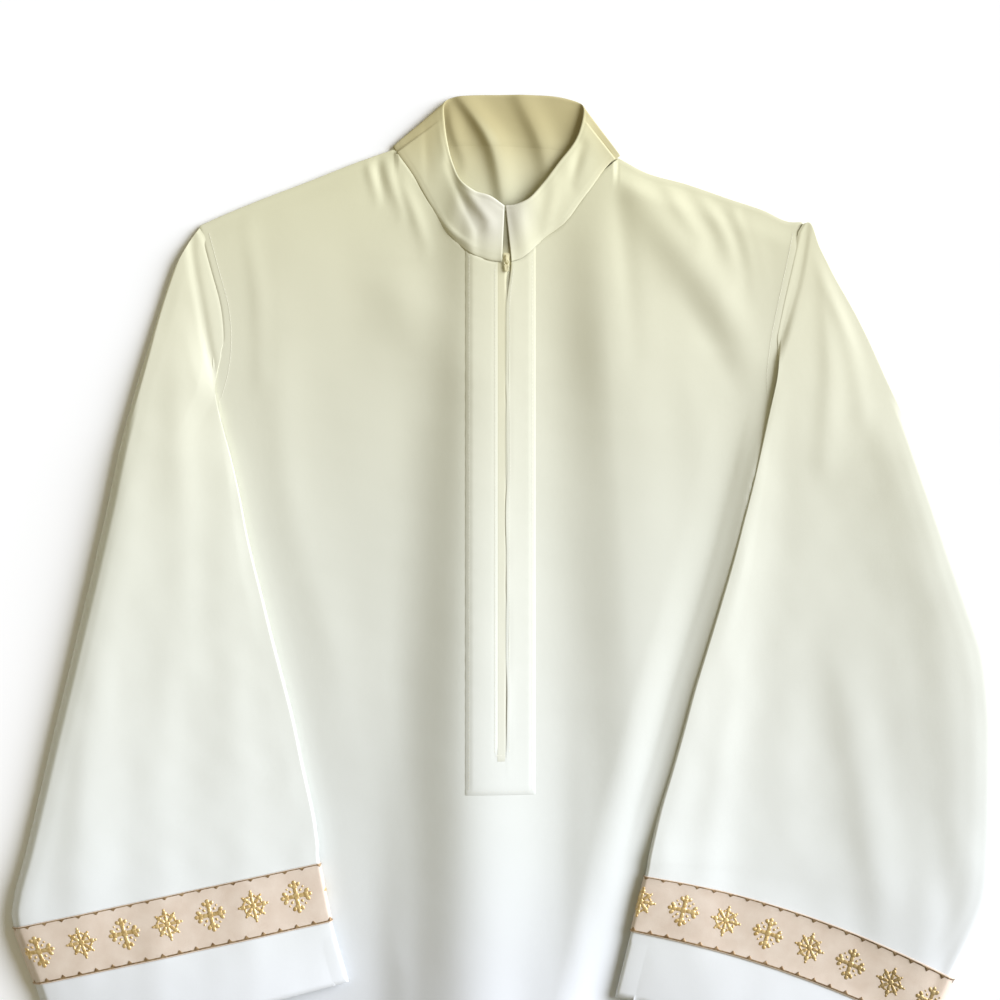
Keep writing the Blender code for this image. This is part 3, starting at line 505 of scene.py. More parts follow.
def grid_faces(rows, cols, skip=None, wrap=False, first=0):
    """Quads of a grid of points; wrap joins the last column to the first."""
    r = np.arange(rows - 1)[:, None]
    c = np.arange(cols if wrap else cols - 1)[None, :]
    nxt = (c + 1) % cols
    quads = np.stack([r * cols + c, r * cols + nxt, (r + 1) * cols + nxt, (r + 1) * cols + c], axis=-1)
    if skip is not None:
        return quads[~skip].reshape(-1, 4) + first
    return quads.reshape(-1, 4) + first


def turned_over(quads):
    """The same quads facing the other way."""
    return np.roll(quads[:, ::-1], 1, axis=1)


def point_normals(verts, faces):
    """Unit normal at each point of a quad mesh."""
    a, b, c, d = (verts[faces[:, i]] for i in range(4))
    face = np.cross(c - a, d - b)
    normal = np.zeros_like(verts)
    for i in range(4):
        np.add.at(normal, faces[:, i], face)
    size = np.linalg.norm(normal, axis=1)
    size[size == 0.0] = 1.0
    return normal / size[:, None]


# a rounded edge from the upper side down: how far it stands out and how deep it lies, as shares of the
# cloth's thickness
RIM = ((0.22, 0.12), (0.32, 0.5), (0.22, 0.88), (0.0, 1.0))


def with_rim(verts, faces, thick, tuck):
    """Adds a rounded edge of that thickness along every open edge, tucked under by a short strip."""
    normal = point_normals(verts, faces)
    edges = np.concatenate([faces[:, [i, (i + 1) % 4]] for i in range(4)])
    key = np.sort(edges, axis=1)
    _, index, counts = np.unique(key, axis=0, return_index=True, return_counts=True)
    open_edges = edges[index[counts == 1]]
    used = np.unique(open_edges)
    out = np.zeros_like(verts)
    along = verts[open_edges[:, 1]] - verts[open_edges[:, 0]]
    for end in (0, 1):
        side = np.cross(along, normal[open_edges[:, end]])
        np.add.at(out, open_edges[:, end], side)
    size = np.linalg.norm(out, axis=1)
    size[size == 0.0] = 1.0
    out /= size[:, None]
    points, layers = [verts], [np.arange(len(verts))]
    rings = [(reach * thick, drop) for reach, drop in RIM] + [(-tuck, 1.0)]
    for shift, drop in rings:
        ring = verts[used] + out[used] * shift - normal[used] * thick * drop
        place = np.full(len(verts), -1)
        place[used] = np.arange(len(used)) + sum(len(p) for p in points)
        points.append(ring)
        layers.append(place)
    strips = []
    for upper, lower in zip(layers[:-1], layers[1:]):
        a, b = upper[open_edges[:, 0]], upper[open_edges[:, 1]]
        c, d = lower[open_edges[:, 1]], lower[open_edges[:, 0]]
        strips.append(np.stack([b, a, d, c], axis=1))
    return np.concatenate(points), np.concatenate([faces] + strips)


def slab(name, upper, under):
    """Closed object between an upper and a lower grid of points."""
    rows, cols = upper.shape[:2]
    count = rows * cols
    ring = np.concatenate([
        np.arange(cols),
        np.arange(1, rows) * cols + cols - 1,
        (rows - 1) * cols + np.arange(cols - 2, -1, -1),
        np.arange(rows - 2, 0, -1) * cols,
    ])
    after = np.roll(ring, -1)
    wall = np.stack([after, ring, ring + count, after + count], axis=1)
    below = grid_faces(rows, cols, first=count)[:, ::-1]
    verts = np.concatenate([upper.reshape(-1, 3), under.reshape(-1, 3)])
    return mesh_object(name, verts, np.concatenate([grid_faces(rows, cols), below, wall]))


def full_turn(count):
    """Even angles once round."""
    return np.arange(count) / count * 2.0 * math.pi


def cloth_grid(name, grid, skip=None, thick=1.2 * MM, tuck=3.0 * MM):
    """Single sheet of cloth with rounded edges from a grid of points."""
    rows, cols = grid.shape[:2]
    faces = grid_faces(rows, cols, skip)
    verts = grid.reshape(-1, 3)
    used = np.unique(faces)
    place = np.full(len(verts), -1)
    place[used] = np.arange(len(used))
    verts, faces = with_rim(verts[used], place[faces], thick, tuck)
    return mesh_object(name, verts, faces)


# ---------------------------------------------------------------- grid of the body
TAPE_ENDS = 42.5 * MM       # length of the tape's ends above the opening, and the distance between their rows
TAPE_STEP = 1.5 * MM
TAPE_END_SHIFT = 3.2 * MM   # how far they stand aside, by what share they narrow, their slope and their drop
TAPE_NARROWING = 0.7
TAPE_END_RISE = 0.062
TAPE_END_DROP = 0.6 * MM
TAPE_DEPTH = 0.08 * MM      # how far the tape lies under the placket's level
# where the flap's edge stands open along the zip: centre and reach along Y, mm, and how far
GAPES = (
    (572.0, 14.0, 0.8),
    (478.0, 10.0, 0.5),
    (377.0, 26.0, 0.9),
    (322.0, 16.0, 0.6),
    (222.0, 34.0, 0.7),
)
# how the flap's edge wavers along the zip: length, size and phase of each wave, and their height
FLAP_WAVES = ((9.0, 0.5, 0.0), (17.0, 1.0, 1.3), (31.0, 0.6, 0.0))
FLAP_SWAY = 0.42 * MM
TUCK = 6.0 * MM             # how far the front runs on under a sleeve's inner edge
CORE = 50.0 * MM            # half the width of the straight columns round the zip
CORE_COLUMN = 2.2 * MM      # width of a column there, and of a column within the opening
SLIT_COLUMN = 0.8 * MM
WING_COLUMNS = 104          # columns on each side of them
UNDER_SLEEVES_Y = -110.0 * MM   # above this height the rows lie closer together
HEM_ROWS_TOP = 40.0 * MM    # height over the hem's edge up to which they do too
TOP_PASSES = 14             # passes that settle where the outer columns meet the upper edge


def core_x():
    """Straight columns round the centre, with one on each edge of the placket, tape and slit."""
    marks = [-CORE, PLACKET_LEFT, TAPE_LEFT, SLIT_LEFT, SLIT_RIGHT, TAPE_RIGHT, PLACKET_RIGHT, CORE]
    out = []
    for a, b in zip(marks[:-1], marks[1:]):
        fine = SLIT_COLUMN if a == SLIT_LEFT else CORE_COLUMN
        steps = max(2, round((b - a) / fine))
        out += list(np.linspace(a, b, steps, endpoint=False))
    return np.array(out + [CORE])


CORE_X = core_x()


def spread_x(x, y):
    """x moved aside by the zip slider."""
    share = 1.0 - (x - SLIT_RIGHT) / (PLACKET_RIGHT - SLIT_RIGHT)
    share = np.where(x < SLIT_RIGHT - BESIDE, 0.0, np.clip(share, 0.0, 1.0))
    return x + share * SLIT_SPREAD * bell((NECK_LOW_Y - y) / SPREAD_LENGTH)


def gape(y):
    """How far the flap's edge stands open along the zip, 0 to 1."""
    total = np.zeros_like(y)
    for centre, reach, size in GAPES:
        total = total + size * bell((y - centre * MM) / (reach * MM))
    return np.clip(total, 0.0, 1.0)


def flap_wave(x, y):
    """Slight waviness of the edge of the flap that covers the zip."""
    wave = sum(size * np.sin(y / (length * MM) + phase) for length, size, phase in FLAP_WAVES)
    near = bell((x - SLIT_RIGHT) / (5.0 * MM)) * (x > SLIT_LEFT + 1.0 * MM)
    ends = smooth((y - SLIT_FOOT) / (10.0 * MM)) * smooth((560.0 * MM - y) / (30.0 * MM))
    return FLAP_SWAY * wave * near * ends


def tuck_under(y):
    """How far the body's cloth runs on under the sleeve below the armhole seam."""
    return TUCK * smooth((524.0 * MM - y) / (12.0 * MM)) * smooth((y - ARMHOLE_FOOT_Y) / (50.0 * MM))


def stack(*parts):
    """Grid of points from grids of their coordinates."""
    return np.stack(parts, axis=2)


def body_xy(rows_low, rows_high, top, wing_columns=WING_COLUMNS, core=CORE_X):
    """Grid of (x, y) over the body: rows_low are heights, rows_high shares from the opening's foot up."""

    def heights(upper):
        low = np.repeat(rows_low[:, None], len(upper), 1)
        return np.concatenate([low, SLIT_FOOT + (upper - SLIT_FOOT)[None, :] * rows_high[:, None]])

    shares = np.linspace(0.0, 1.0, wing_columns + 1)[1:]
    wings = []
    for sign, wearers_left in ((-1.0, False), (1.0, True)):
        upper = np.full(wing_columns, 0.6)
        for _ in range(TOP_PASSES):
            edge = np.abs(side_x(upper, wearers_left))
            upper = top(sign * (CORE + (edge - CORE) * shares))
        y = heights(upper)
        edge = np.abs(side_x(y, wearers_left)) + tuck_under(y)
        x = sign * (CORE + (edge - CORE) * shares[None, :])
        wings.append(stack(x, y))
    y = heights(top(core))
    middle = stack(spread_x(np.repeat(core[None, :], len(y), 0), y), y)
    return np.concatenate([wings[0][:, ::-1], middle, wings[1]], axis=1)


def front_rows():
    """Heights of the front's rows below the opening's foot, and shares above it."""
    low = np.concatenate([
        np.linspace(HEM_Y, HEM_Y + HEM_ROWS_TOP, 14, endpoint=False),
        np.linspace(HEM_Y + HEM_ROWS_TOP, UNDER_SLEEVES_Y, 62, endpoint=False),
        np.linspace(UNDER_SLEEVES_Y, PLACKET_FOOT, 62, endpoint=False),
        np.linspace(PLACKET_FOOT, SLIT_FOOT, 9, endpoint=False),
    ])
    return low, np.linspace(0.0, 1.0, 132)


def opening_cells(xy):
    """Cells of a body grid that lie inside the zip opening."""
    first = xy[0, :, 0]
    left = first[:-1] > SLIT_LEFT - BESIDE
    right = first[1:] < SLIT_RIGHT + BESIDE
    above = xy[:-1, :, 1].mean(axis=1) > SLIT_FOOT - BESIDE
    low = xy[:-1, np.argmax(left), 1] > SLIT_FOOT - BESIDE
    return (left & right)[None, :] & (above | low)[:, None]


def make_front():
    """Front panel."""
    xy = body_xy(*front_rows(), top_y)
    x, y = xy[..., 0], xy[..., 1]
    grid = stack(x + flap_wave(x, y), y, front_surface(x, y))
    return cloth_grid("front_cloth", grid, opening_cells(xy))


def neck_folds(x, y):
    """Soft diagonal folds of the back's inside and of the collar behind it, seen through the neck."""
    return fold_height(x, y, NECK_FOLDS)


def make_back():
    """Back panel: flat underside, its inside rising in soft folds under the neck."""
    low = np.concatenate([
        np.linspace(HEM_Y, UNDER_SLEEVES_Y, 30, endpoint=False),
        np.linspace(UNDER_SLEEVES_Y, 180.0 * MM, 16),
    ])
    high = np.concatenate([np.linspace(0.0, 0.78, 24, endpoint=False), np.linspace(0.78, 1.0, 50)])
    xy = body_xy(low[:-1], high, back_top, 40, np.linspace(-CORE, CORE, 46))
    x, y = xy[..., 0], xy[..., 1]
    top = CLOTH + neck_folds(x, y) * bell(np.clip(600.0 * MM - y, 0.0, None) / (20.0 * MM))
    return slab("back_cloth", stack(x, y, top), stack(x, y, np.full_like(top, 0.1 * MM)))


def strip_xy(left, right, foot):
    """The front's own columns in a strip round the zip opening."""
    xy = body_xy(*front_rows(), top_y)
    first = xy[0, :, 0]
    cols = (first > left - BESIDE) & (first < right + BESIDE)
    rows = xy[:, :, 1][:, cols].min(axis=1) > foot - BESIDE
    return xy[rows][:, cols]


PLACKET_EDGE = 0.2 * MM     # height of the placket's pressed edge over the front, and of its middle
PLACKET_MIDDLE = 0.85 * MM
STITCH_INSET = 2.6 * MM     # from the placket's edge to its stitching, and from the opening's edge to its own
ZIP_STITCH = 2.2 * MM
STITCH_GROOVE = 0.24 * MM   # depth of the groove along each, and height of the puckers beside them
ZIP_GROOVE = 0.18 * MM
PUCKER = 0.10 * MM
GAPE_LIFT = 0.5 * MM        # how far the flap's edge rises where it stands open
TAPE_SIDE_DEPTH = 1.6 * MM  # how far the tape lies lower beside the opening, and where the flap stands open
TAPE_GAPE_DEPTH = 0.9 * MM


def placket_relief(x, y):
    """Height of the placket over the front: flat with grooves along its stitching and small puckers."""
    edge = np.minimum(np.minimum(x - PLACKET_LEFT, PLACKET_RIGHT - x), y - PLACKET_FOOT)
    groove = bell((edge - STITCH_INSET) / (0.9 * MM))
    pucker = PUCKER * np.sin(y / (2.1 * MM) + 3.0 * np.sin(y / (31.0 * MM)))
    pucker = pucker * bell((edge - STITCH_INSET) / (4.0 * MM))
    slit = np.minimum(np.abs(x - SLIT_LEFT), np.abs(x - SLIT_RIGHT))
    inner = bell((slit - ZIP_STITCH) / (0.8 * MM)) * (y > SLIT_FOOT - 4.0 * MM)
    pressed_edge = PLACKET_EDGE + (PLACKET_MIDDLE - PLACKET_EDGE) * smooth(edge / (5.0 * MM))
    return pressed_edge - STITCH_GROOVE * groove - ZIP_GROOVE * inner + pucker


def placket_height(x, y):
    """Upper side of the placket."""
    return front_surface(x, y) + placket_relief(x, y)


def make_placket():
    """Stitched strip round the zip opening."""
    xy = strip_xy(PLACKET_LEFT, PLACKET_RIGHT, PLACKET_FOOT)
    x, y = xy[..., 0], xy[..., 1]
    lifted = GAPE_LIFT * gape(y) * bell((x - SLIT_RIGHT) / (3.5 * MM)) * (x > SLIT_RIGHT - BESIDE)
    grid = stack(x + flap_wave(x, y), y, placket_height(x, y) + lifted)
    return cloth_grid("placket_cloth", grid, opening_cells(xy), 1.0 * MM, 2.0 * MM)


def tape_surface(x, y):
    """Upper side of the zip tape: just under the placket's level in the opening, lower beside it."""
    beside = np.maximum(SLIT_LEFT - x, x - SLIT_RIGHT)
    deep = smooth((beside - 0.2 * MM) / (2.4 * MM))
    groove = bell((x - SLIT_RIGHT + 0.1 * MM) / (0.8 * MM)) * gape(y)
    level = front_surface(x, y) + PLACKET_MIDDLE - TAPE_DEPTH * smooth((y - SLIT_FOOT) / (5.0 * MM))
    return level - TAPE_SIDE_DEPTH * deep - TAPE_GAPE_DEPTH * groove


def make_tape():
    """Zip tape under the opening, its upper ends running on behind the collar's ends."""
    xy = strip_xy(TAPE_LEFT, TAPE_RIGHT, SLIT_FOOT - 9.0 * MM)
    x, y = xy[..., 0], xy[..., 1]
    grid = stack(x, y, tape_surface(x, y))
    middle = (SLIT_LEFT + SLIT_RIGHT) / 2.0
    last = grid[-1]
    flat = float(np.median(last[:, 2]))
    ends = []
    for up in np.arange(TAPE_STEP, TAPE_ENDS, TAPE_STEP):
        row = last.copy()
        turned = float(smooth(up / (7.0 * MM)))
        row[:, 0] = middle + TAPE_END_SHIFT * turned + (row[:, 0] - middle) * (1.0 - TAPE_NARROWING * turned)
        row[:, 1] += up
        row[:, 2] += (flat - row[:, 2]) * turned + TAPE_END_RISE * up - TAPE_END_DROP * turned
        ends.append(row)
    return cloth_grid("zip_tape_cloth", np.concatenate([grid, np.array(ends)]), None, 0.7 * MM, 1.5 * MM)


# ---------------------------------------------------------------- sleeves
SLEEVE_ROWS = 200
UPPER_POINTS = 96
UNDER_POINTS = 34
EDGE_ROUND = 0.5 * MM
# the strip between armhole seam and overfold: its slope, its valley, the step up to the fold, the width and
# height of the climb behind it, where along Y it is closed and the length over which it closes, mm
OVERFOLD_FORM = by_side((
    ("side", "slope", "valley", "step", "width", "climb", "closed", "closing"),
    ("right", 0.06, 0.75, 0.12, 14.0, 3.4, 462.0, 52.0),
    ("left", 0.0, 0.2, 0.5, 5.0, 3.4, 494.0, 42.0),
))
# each sleeve's own folds, the seed of its uneven surface and how far its inner edge stands up
SLEEVE_FOLDS = {"right": RIGHT_SLEEVE_FOLDS, "left": LEFT_SLEEVE_FOLDS}
SLEEVE_SEED = {"right": 12, "left": 11}
EDGE_LIFT = {"right": 0.4 * MM, "left": 0.5 * MM}
OVERFOLD_LEVEL = 5.3 * MM   # height of that strip at the seam, and its width
STRIP_WIDTH = 16.0 * MM
VALLEY = 4.0 * MM           # how far the valley lies before the fold, and its reach
STEP_WIDTH = 4.8 * MM
CLIMB_FROM_Y = 560.0 * MM   # where the climb begins, and the length over which it grows
CLIMB_LENGTH = 84.0 * MM
SOFT_LEVEL = 0.3 * MM       # softness with which a sleeve is brought down to that level
NEAR_HOLE_Y = 425.0 * MM    # where it starts to be brought down, and the length over which it comes
NEAR_HOLE_LENGTH = 60.0 * MM
ARMHOLE_SHARE = 0.05        # share of a sleeve's length over which it leaves the armhole
ARCH_FULLNESS = 0.7         # below 1 the open cuff's arch is fuller than a sine
BAND_SHARE = 0.68           # share of its length where it starts to rise for the galloon, and over how much
BAND_RISE_SHARE = 0.12
FALL_FROM = 3.0 * MM        # how far beside the body it starts to droop, and the width over which it droops
FALL_WIDTH = 34.0 * MM
UPPER_EASE = 0.75           # how far its points draw together at its two edges, in each layer
UNDER_EASE = 0.6
CALM_EDGE = 16.0 * MM       # width beside its edges that stays free of folds, and of height
PLAIN_EDGE = 1.4 * MM
LIFT_REACH = 24.0 * MM      # how far its inner edge's lift reaches across it
HOLE_OUTER = 8.0 * MM       # width at its outer and inner edge that doesn't follow the armhole
HOLE_INNER = 13.0 * MM
UNDER_DEPTH = 2.2 * MM      # how far its under layer keeps below the strip
SEAM_DIP = 0.55 * MM        # how far a sleeve's seam edge dips under the front's
HOLE_LAP = 2.0 * MM         # how far a sleeve's seam edge runs under the front's


def sleeve_over(along):
    """Underside of a sleeve where it lies over the front: low at the armhole, higher at the galloon."""
    band = smooth((along - BAND_SHARE) / BAND_RISE_SHARE)
    over = SLEEVE_OVER_BODY + GALLOON_ROOM * band
    return ARMHOLE_UNDER + (over - ARMHOLE_UNDER) * smooth(along / ARMHOLE_SHARE)


def sleeve_under(x, y, along):
    """Underside of a sleeve: over the front it lies on it, beside the body it droops to the floor."""
    over = sleeve_over(along)
    on_floor = ARMHOLE_UNDER + (SLEEVE_ON_FLOOR - ARMHOLE_UNDER) * smooth(along / ARMHOLE_SHARE)
    fall = smooth((outside(x, y) - FALL_FROM) / FALL_WIDTH)
    return over + (on_floor - over) * fall


def across_height(side, share, along):
    """Height of a sleeve's upper layer across it, as a share of its rise; the cuff opens in an arch."""
    table = np.array(ACROSS[1:])
    fine = np.linspace(0.0, 1.0, 201)
    profile = spline(fine, table[:, 0], table[:, 1 if side == "right" else 2])
    laid = np.interp(share, fine, profile)
    arch = np.sin(np.pi * np.clip(share, 0.0, 1.0)) ** ARCH_FULLNESS
    flare = smooth((along - CUFF_FLARE) / (1.0 - CUFF_FLARE))
    return laid + (arch - laid) * flare


def eased(count, power):
    """Shares from 0 to 1, closer together near both ends."""
    t = np.linspace(0.0, 1.0, count)
    even = 0.5 - 0.5 * np.cos(np.pi * t)
    return (1.0 - power) * t + power * even


def sleeve_plan(side, rows, upper, under, first, last):
    """Plan of a sleeve's rings: their (x, y), stations, share and width across, share along, and rise."""
    table = SLEEVE_TABLES[side]
    count = len(table["bow"])
    index = np.arange(count)
    v = np.linspace(first, count - 1.0 if last is None else last, rows)
    line = {name: spline(v, index, values) for name, values in table.items()}
    outer = np.stack([line["outer_x"], line["outer_y"]], axis=1)
    inner = np.stack([line["inner_x"], line["inner_y"]], axis=1)
    middle = [(table[f"outer_{k}"] + table[f"inner_{k}"]) / 2.0 for k in "xy"]
    steps = np.linalg.norm(np.diff(middle, axis=1), axis=0)
    along = np.interp(v, index, np.concatenate([[0.0], np.cumsum(steps)]) / steps.sum())[:, None]
    chord = inner - outer
    width = np.linalg.norm(chord, axis=1)[:, None]
    normal = np.stack([-chord[:, 1], chord[:, 0]], axis=1) / width
    normal *= np.sign(normal[:, 1])[:, None]
    shares = np.concatenate([eased(upper, UPPER_EASE), eased(under, UNDER_EASE)[::-1][1:-1]])[None, :]
    bend = line["bow"][:, None] * 4.0 * shares * (1.0 - shares)
    xy = outer[:, None, :] + chord[:, None, :] * shares[..., None] + normal[:, None, :] * bend[..., None]
    if first == 0.0:
        inward = -HOLE_LAP if side == "left" else HOLE_LAP
        seam_y = outer[0, 1] + chord[0, 1] * shares[0]
        straight = outer[0, 0] + chord[0, 0] * shares[0]
        hole = side_x(seam_y, side == "left") + inward
        across = shares[0] * width[0]
        lap = smooth(across / HOLE_OUTER) * smooth((width[0] - across) / HOLE_INNER)
        xy[..., 0] += (hole - straight)[None, :] * (1.0 - smooth(v))[:, None] * lap[None, :]
    return xy, v[:, None], shares, width, along, line["rise"][:, None]


def sleeve_grid(side, rows=SLEEVE_ROWS, upper=UPPER_POINTS, under=UNDER_POINTS, first=0.0, last=None):
    """Rings of a sleeve from armhole to cuff: upper layer from outer to inner edge, then under layer."""
    xy, v, shares, width, along, rise = sleeve_plan(side, rows, upper, under, first, last)
    x, y = xy[..., 0], xy[..., 1]
    is_upper = (np.arange(shares.shape[1]) < upper)[None, :]
    beyond = outside(x, y)
    low = sleeve_under(x, y, along)
    near = np.minimum(shares, 1.0 - shares) * width
    t = np.clip(near / EDGE_ROUND, 0.0, 1.0)
    half = SLEEVE_EDGE / 2.0 * np.sqrt(np.clip(1.0 - (1.0 - t) ** 2, 0.0, 1.0))
    mid = low + SLEEVE_EDGE / 2.0
    puff = np.clip(rise - SLEEVE_EDGE, 0.0, None) * across_height(side, shares, along)
    roll = (sleeve_over(along) - low) * smooth(near / OUTER_ROLL)
    folds = fold_height(x, y, SLEEVE_FOLDS[side])
    uneven = waves(x, y, SLEEVE_SEED[side], 24, longest=140.0 * MM, shortest=24.0 * MM, height=0.45 * MM)
    relief = (folds + uneven) * (smooth(near / CALM_EDGE) * smooth(along / ARMHOLE_SHARE))
    high = mid + half + roll + (puff + relief) * smooth(near / PLAIN_EDGE)
    z = np.where(is_upper, high, mid - half)
    inner_gap = (1.0 - shares) * width
    lifted = EDGE_LIFT[side] * bell(inner_gap / LIFT_REACH) * smooth((along - ARMHOLE_SHARE) / 0.16)
    z = z + np.where(beyond < 0.0, lifted, lifted * smooth(1.0 - beyond / (30.0 * MM)))
    level = armhole_level(side, x, y)
    near_hole = smooth((y - NEAR_HOLE_Y) / NEAR_HOLE_LENGTH)
    covered = near_hole * smooth((beyond - 7.0 * MM) / (6.0 * MM))
    upper_z = below_level(z, level + 0.7 * relief, near_hole)
    under_z = below_level(z, level - UNDER_DEPTH, covered)
    z = np.where(is_upper, upper_z, under_z) - SEAM_DIP * (1.0 - smooth(v / 0.35)) * is_upper
    return stack(x, y, z)


def armhole_level(side, x, y):
    """Height of a sleeve beside the armhole: a strip level with the front, then its fold lying over it."""
    line, form = OVERFOLDS[side], OVERFOLD_FORM[side]
    fold_x = spline(y, line["y"], line["x"])
    past = (fold_x - x) if side == "left" else (x - fold_x)
    open_strip = smooth((y - form["closed"] * MM) / (form["closing"] * MM))
    strip = OVERFOLD_LEVEL + form["slope"] * np.clip(outside(x, y), 0.0, STRIP_WIDTH)
    strip = strip - form["valley"] * MM * bell((past - VALLEY) / VALLEY) * open_strip
    width = form["width"] * MM
    on_fold = 1.0 - open_strip * smooth((past + width) / (1.5 * width))
    step_up = form["step"] * MM * (1.0 - open_strip * smooth((past + STEP_WIDTH / 2.0) / STEP_WIDTH))
    lower_end = smooth((CLIMB_FROM_Y - y) / CLIMB_LENGTH)
    return strip + step_up + form["climb"] * MM * lower_end * on_fold


def below_level(z, level, share):
    """z softly brought down to a level, by a share of what stands over it."""
    excess = z - level
    excess = 0.5 * (excess + np.sqrt(excess ** 2 + SOFT_LEVEL ** 2))
    return z - share * excess


# the hem turned in at the cuff: how many rings back each of its rows lies, and how far inside them, mm
HEM_RINGS = ((0, 0.5), (1, 1.0), (4, 1.1), (9, 1.1))
TINY = 1e-6                 # keeps a division from having nothing under it


def make_sleeve(side):
    """One sleeve, a flat tube open at the armhole and the cuff, with its hem turned in at the cuff."""
    grid = sleeve_grid(side)
    rows, cols = grid.shape[:2]
    inner_rows = []
    for rows_back, wall in HEM_RINGS:
        ring = grid[-1 - rows_back]
        towards = ring.mean(axis=0) - ring
        towards[:, :2] *= 0.02
        size = np.linalg.norm(towards, axis=1)[:, None]
        inner_rows.append(ring + towards / np.maximum(size, TINY) * wall * MM)
    grid = np.concatenate([grid, np.array(inner_rows)])
    faces = grid_faces(rows + len(inner_rows), cols, wrap=True)
    verts = grid.reshape(-1, 3)
    return mesh_object(f"sleeve_{side}_cloth", verts, outward(verts, faces))


def outward(verts, faces):
    """Faces of a flat tube turned so that their normals point out of it."""
    centre_z = np.median(verts[:, 2])
    a, b, c, d = (verts[faces[:, i]] for i in range(4))
    normal = np.cross(c - a, d - b)[:, 2]
    height = (a + b + c + d)[:, 2] / 4.0 - centre_z
    return faces if (normal * height).sum() > 0.0 else faces[:, ::-1]


# ---------------------------------------------------------------- collar
NECK_LAP = 1.6 * MM         # how far the collar's seam edge laps over the front, and over the back
NECK_LAP_BACK = 5.0 * MM
PLACKET_STEP = 14.0 * MM    # width over which its seam climbs onto the placket
COLLAR_STEP = 0.35 * MM     # how far the collar rises just over its seam, and how far the slider lifts it
SLIDER_LIFT = 0.9 * MM
SEAM_SINK = 0.25 * MM       # how far its middle surface lies under their upper sides there
SEAM_SINK_BACK = 0.42 * MM
COLLAR_BAND = 40.0          # the band's height, mm, for what is worked out across it
COLLAR_ROWS = 34
COLLAR_COLUMNS = 420
COLLAR_HALF = 0.45 * MM     # half its thickness
HINGE_X = 0.4 * MM          # the zip slider's centre
SLIDER_Y = 589.0 * MM
NECK_CENTRE_Y = 640.0 * MM
BACK_FROM, BACK_TO = 7.9, 13.2      # the collar's stations along the back
SHOULDER_TURN = 0.9         # stations over which its seam passes from front to back


def collar_front(u):
    """1 at the collar's front stations, 0 along the back of the neck."""
    return np.maximum(smooth((BACK_FROM - u) / SHOULDER_TURN), smooth((u - BACK_TO) / SHOULDER_TURN))


def collar_grid():
    """Middle surface of the collar: rows from seam to top edge, columns along it."""
    table = columns(COLLAR)
    index = np.arange(len(table["seam_x"]))
    u = np.linspace(0.0, index[-1], COLLAR_COLUMNS)
    seam = np.stack([spline(u, index, table[f"seam_{k}"]) for k in "xyz"], axis=1)
    edge = np.stack([spline(u, index, table[f"edge_{k}"]) for k in "xyz"], axis=1)
    front = collar_front(u)
    away = seam[:, :2] - np.array([0.0, NECK_CENTRE_Y])
    away /= np.linalg.norm(away, axis=1)[:, None]
    seam[:, :2] += away * (NECK_LAP * front - NECK_LAP_BACK * (1.0 - front))[:, None]
    x, y = seam[:, 0], seam[:, 1]
    inside = np.minimum(x - PLACKET_LEFT, PLACKET_RIGHT - x)
    on_placket = smooth(inside / PLACKET_STEP + 0.5)
    on_front = front_surface(x, y) + (RIBBON + SEAM_GAP) * on_placket - SEAM_SINK
    seam[:, 2] = on_front * front + (CLOTH - SEAM_SINK_BACK) * (1.0 - front)
    v = np.linspace(0.0, 1.0, COLLAR_ROWS)[:, None, None]
    grid = seam[None] + (edge - seam)[None] * v
    grid[..., 2] += neck_folds(grid[..., 0], grid[..., 1]) * (1.0 - front)[None, :]
    wing = fold_height(grid[..., 0], grid[..., 1], WING_CREASES) * front[None, :]
    grid[..., 2] += wing * smooth(v[..., 0] / 0.12)
    grid[..., 2] += COLLAR_STEP * smooth(v[..., 0] / 0.06)
    near_slider = bell((grid[..., 0] - HINGE_X) / (4.5 * MM)) * bell((grid[..., 1] - SLIDER_Y) / (9.0 * MM))
    grid[..., 2] += SLIDER_LIFT * near_slider * front[None, :]
    return grid, u, v[..., 0]


# the collar's creases: station along it and width in stations, height in mm, and how far they slant
COLLAR_CREASES = (
    ("station", "width", "height", "slant"),
    (1.6, 0.40, 0.4, 0.5),
    (2.9, 0.35, -0.4, -0.3),
    (4.5, 0.5, -0.25, 0.3),
    (16.6, 0.45, -0.3, 0.4),
    (18.4, 0.45, 0.4, -0.3),
    (20.0, 0.45, -0.3, 0.5),
)
COLLAR_STITCHES = (0.09, 0.93)      # where its two rows of stitching run across it, and their grooves' depth
COLLAR_GROOVE = 0.22 * MM
END_STATIONS = 1.0 / 12.0   # stations over which its ends are rounded, and their thickness as a share
END_THICKNESS = 0.45
FEATHER_BACK = 7.0          # height over which it thins out to its seam at the back and at the front, mm
FEATHER_FRONT = 3.5


def half_collar(u, v):
    """Half the collar's thickness: full in its middle, round at edges and ends, grooved at its stitching."""
    behind = (1.0 - collar_front(u))[None, :]
    groove = sum(COLLAR_GROOVE * bell((v - at) / 0.03) for at in COLLAR_STITCHES)
    up = v * COLLAR_BAND
    edge = np.clip(np.minimum(v, 1.0 - v) * COLLAR_BAND, 0.0, 1.0)
    round_edge = np.sqrt(np.clip(1.0 - (1.0 - edge) ** 2, 0.0, 1.0))
    ends = np.clip(np.minimum(u, u[-1] - u) / END_STATIONS, 0.0, 1.0)
    round_end = END_THICKNESS + (1.0 - END_THICKNESS) * np.sqrt(1.0 - (1.0 - ends) ** 2)
    feather = smooth(up / FEATHER_BACK) * behind + smooth(up / FEATHER_FRONT) * (1.0 - behind)
    half = COLLAR_HALF * np.minimum(round_edge, round_end[None, :]) * feather - groove * (1.0 - behind)
    return np.maximum(half, 0.05 * MM)


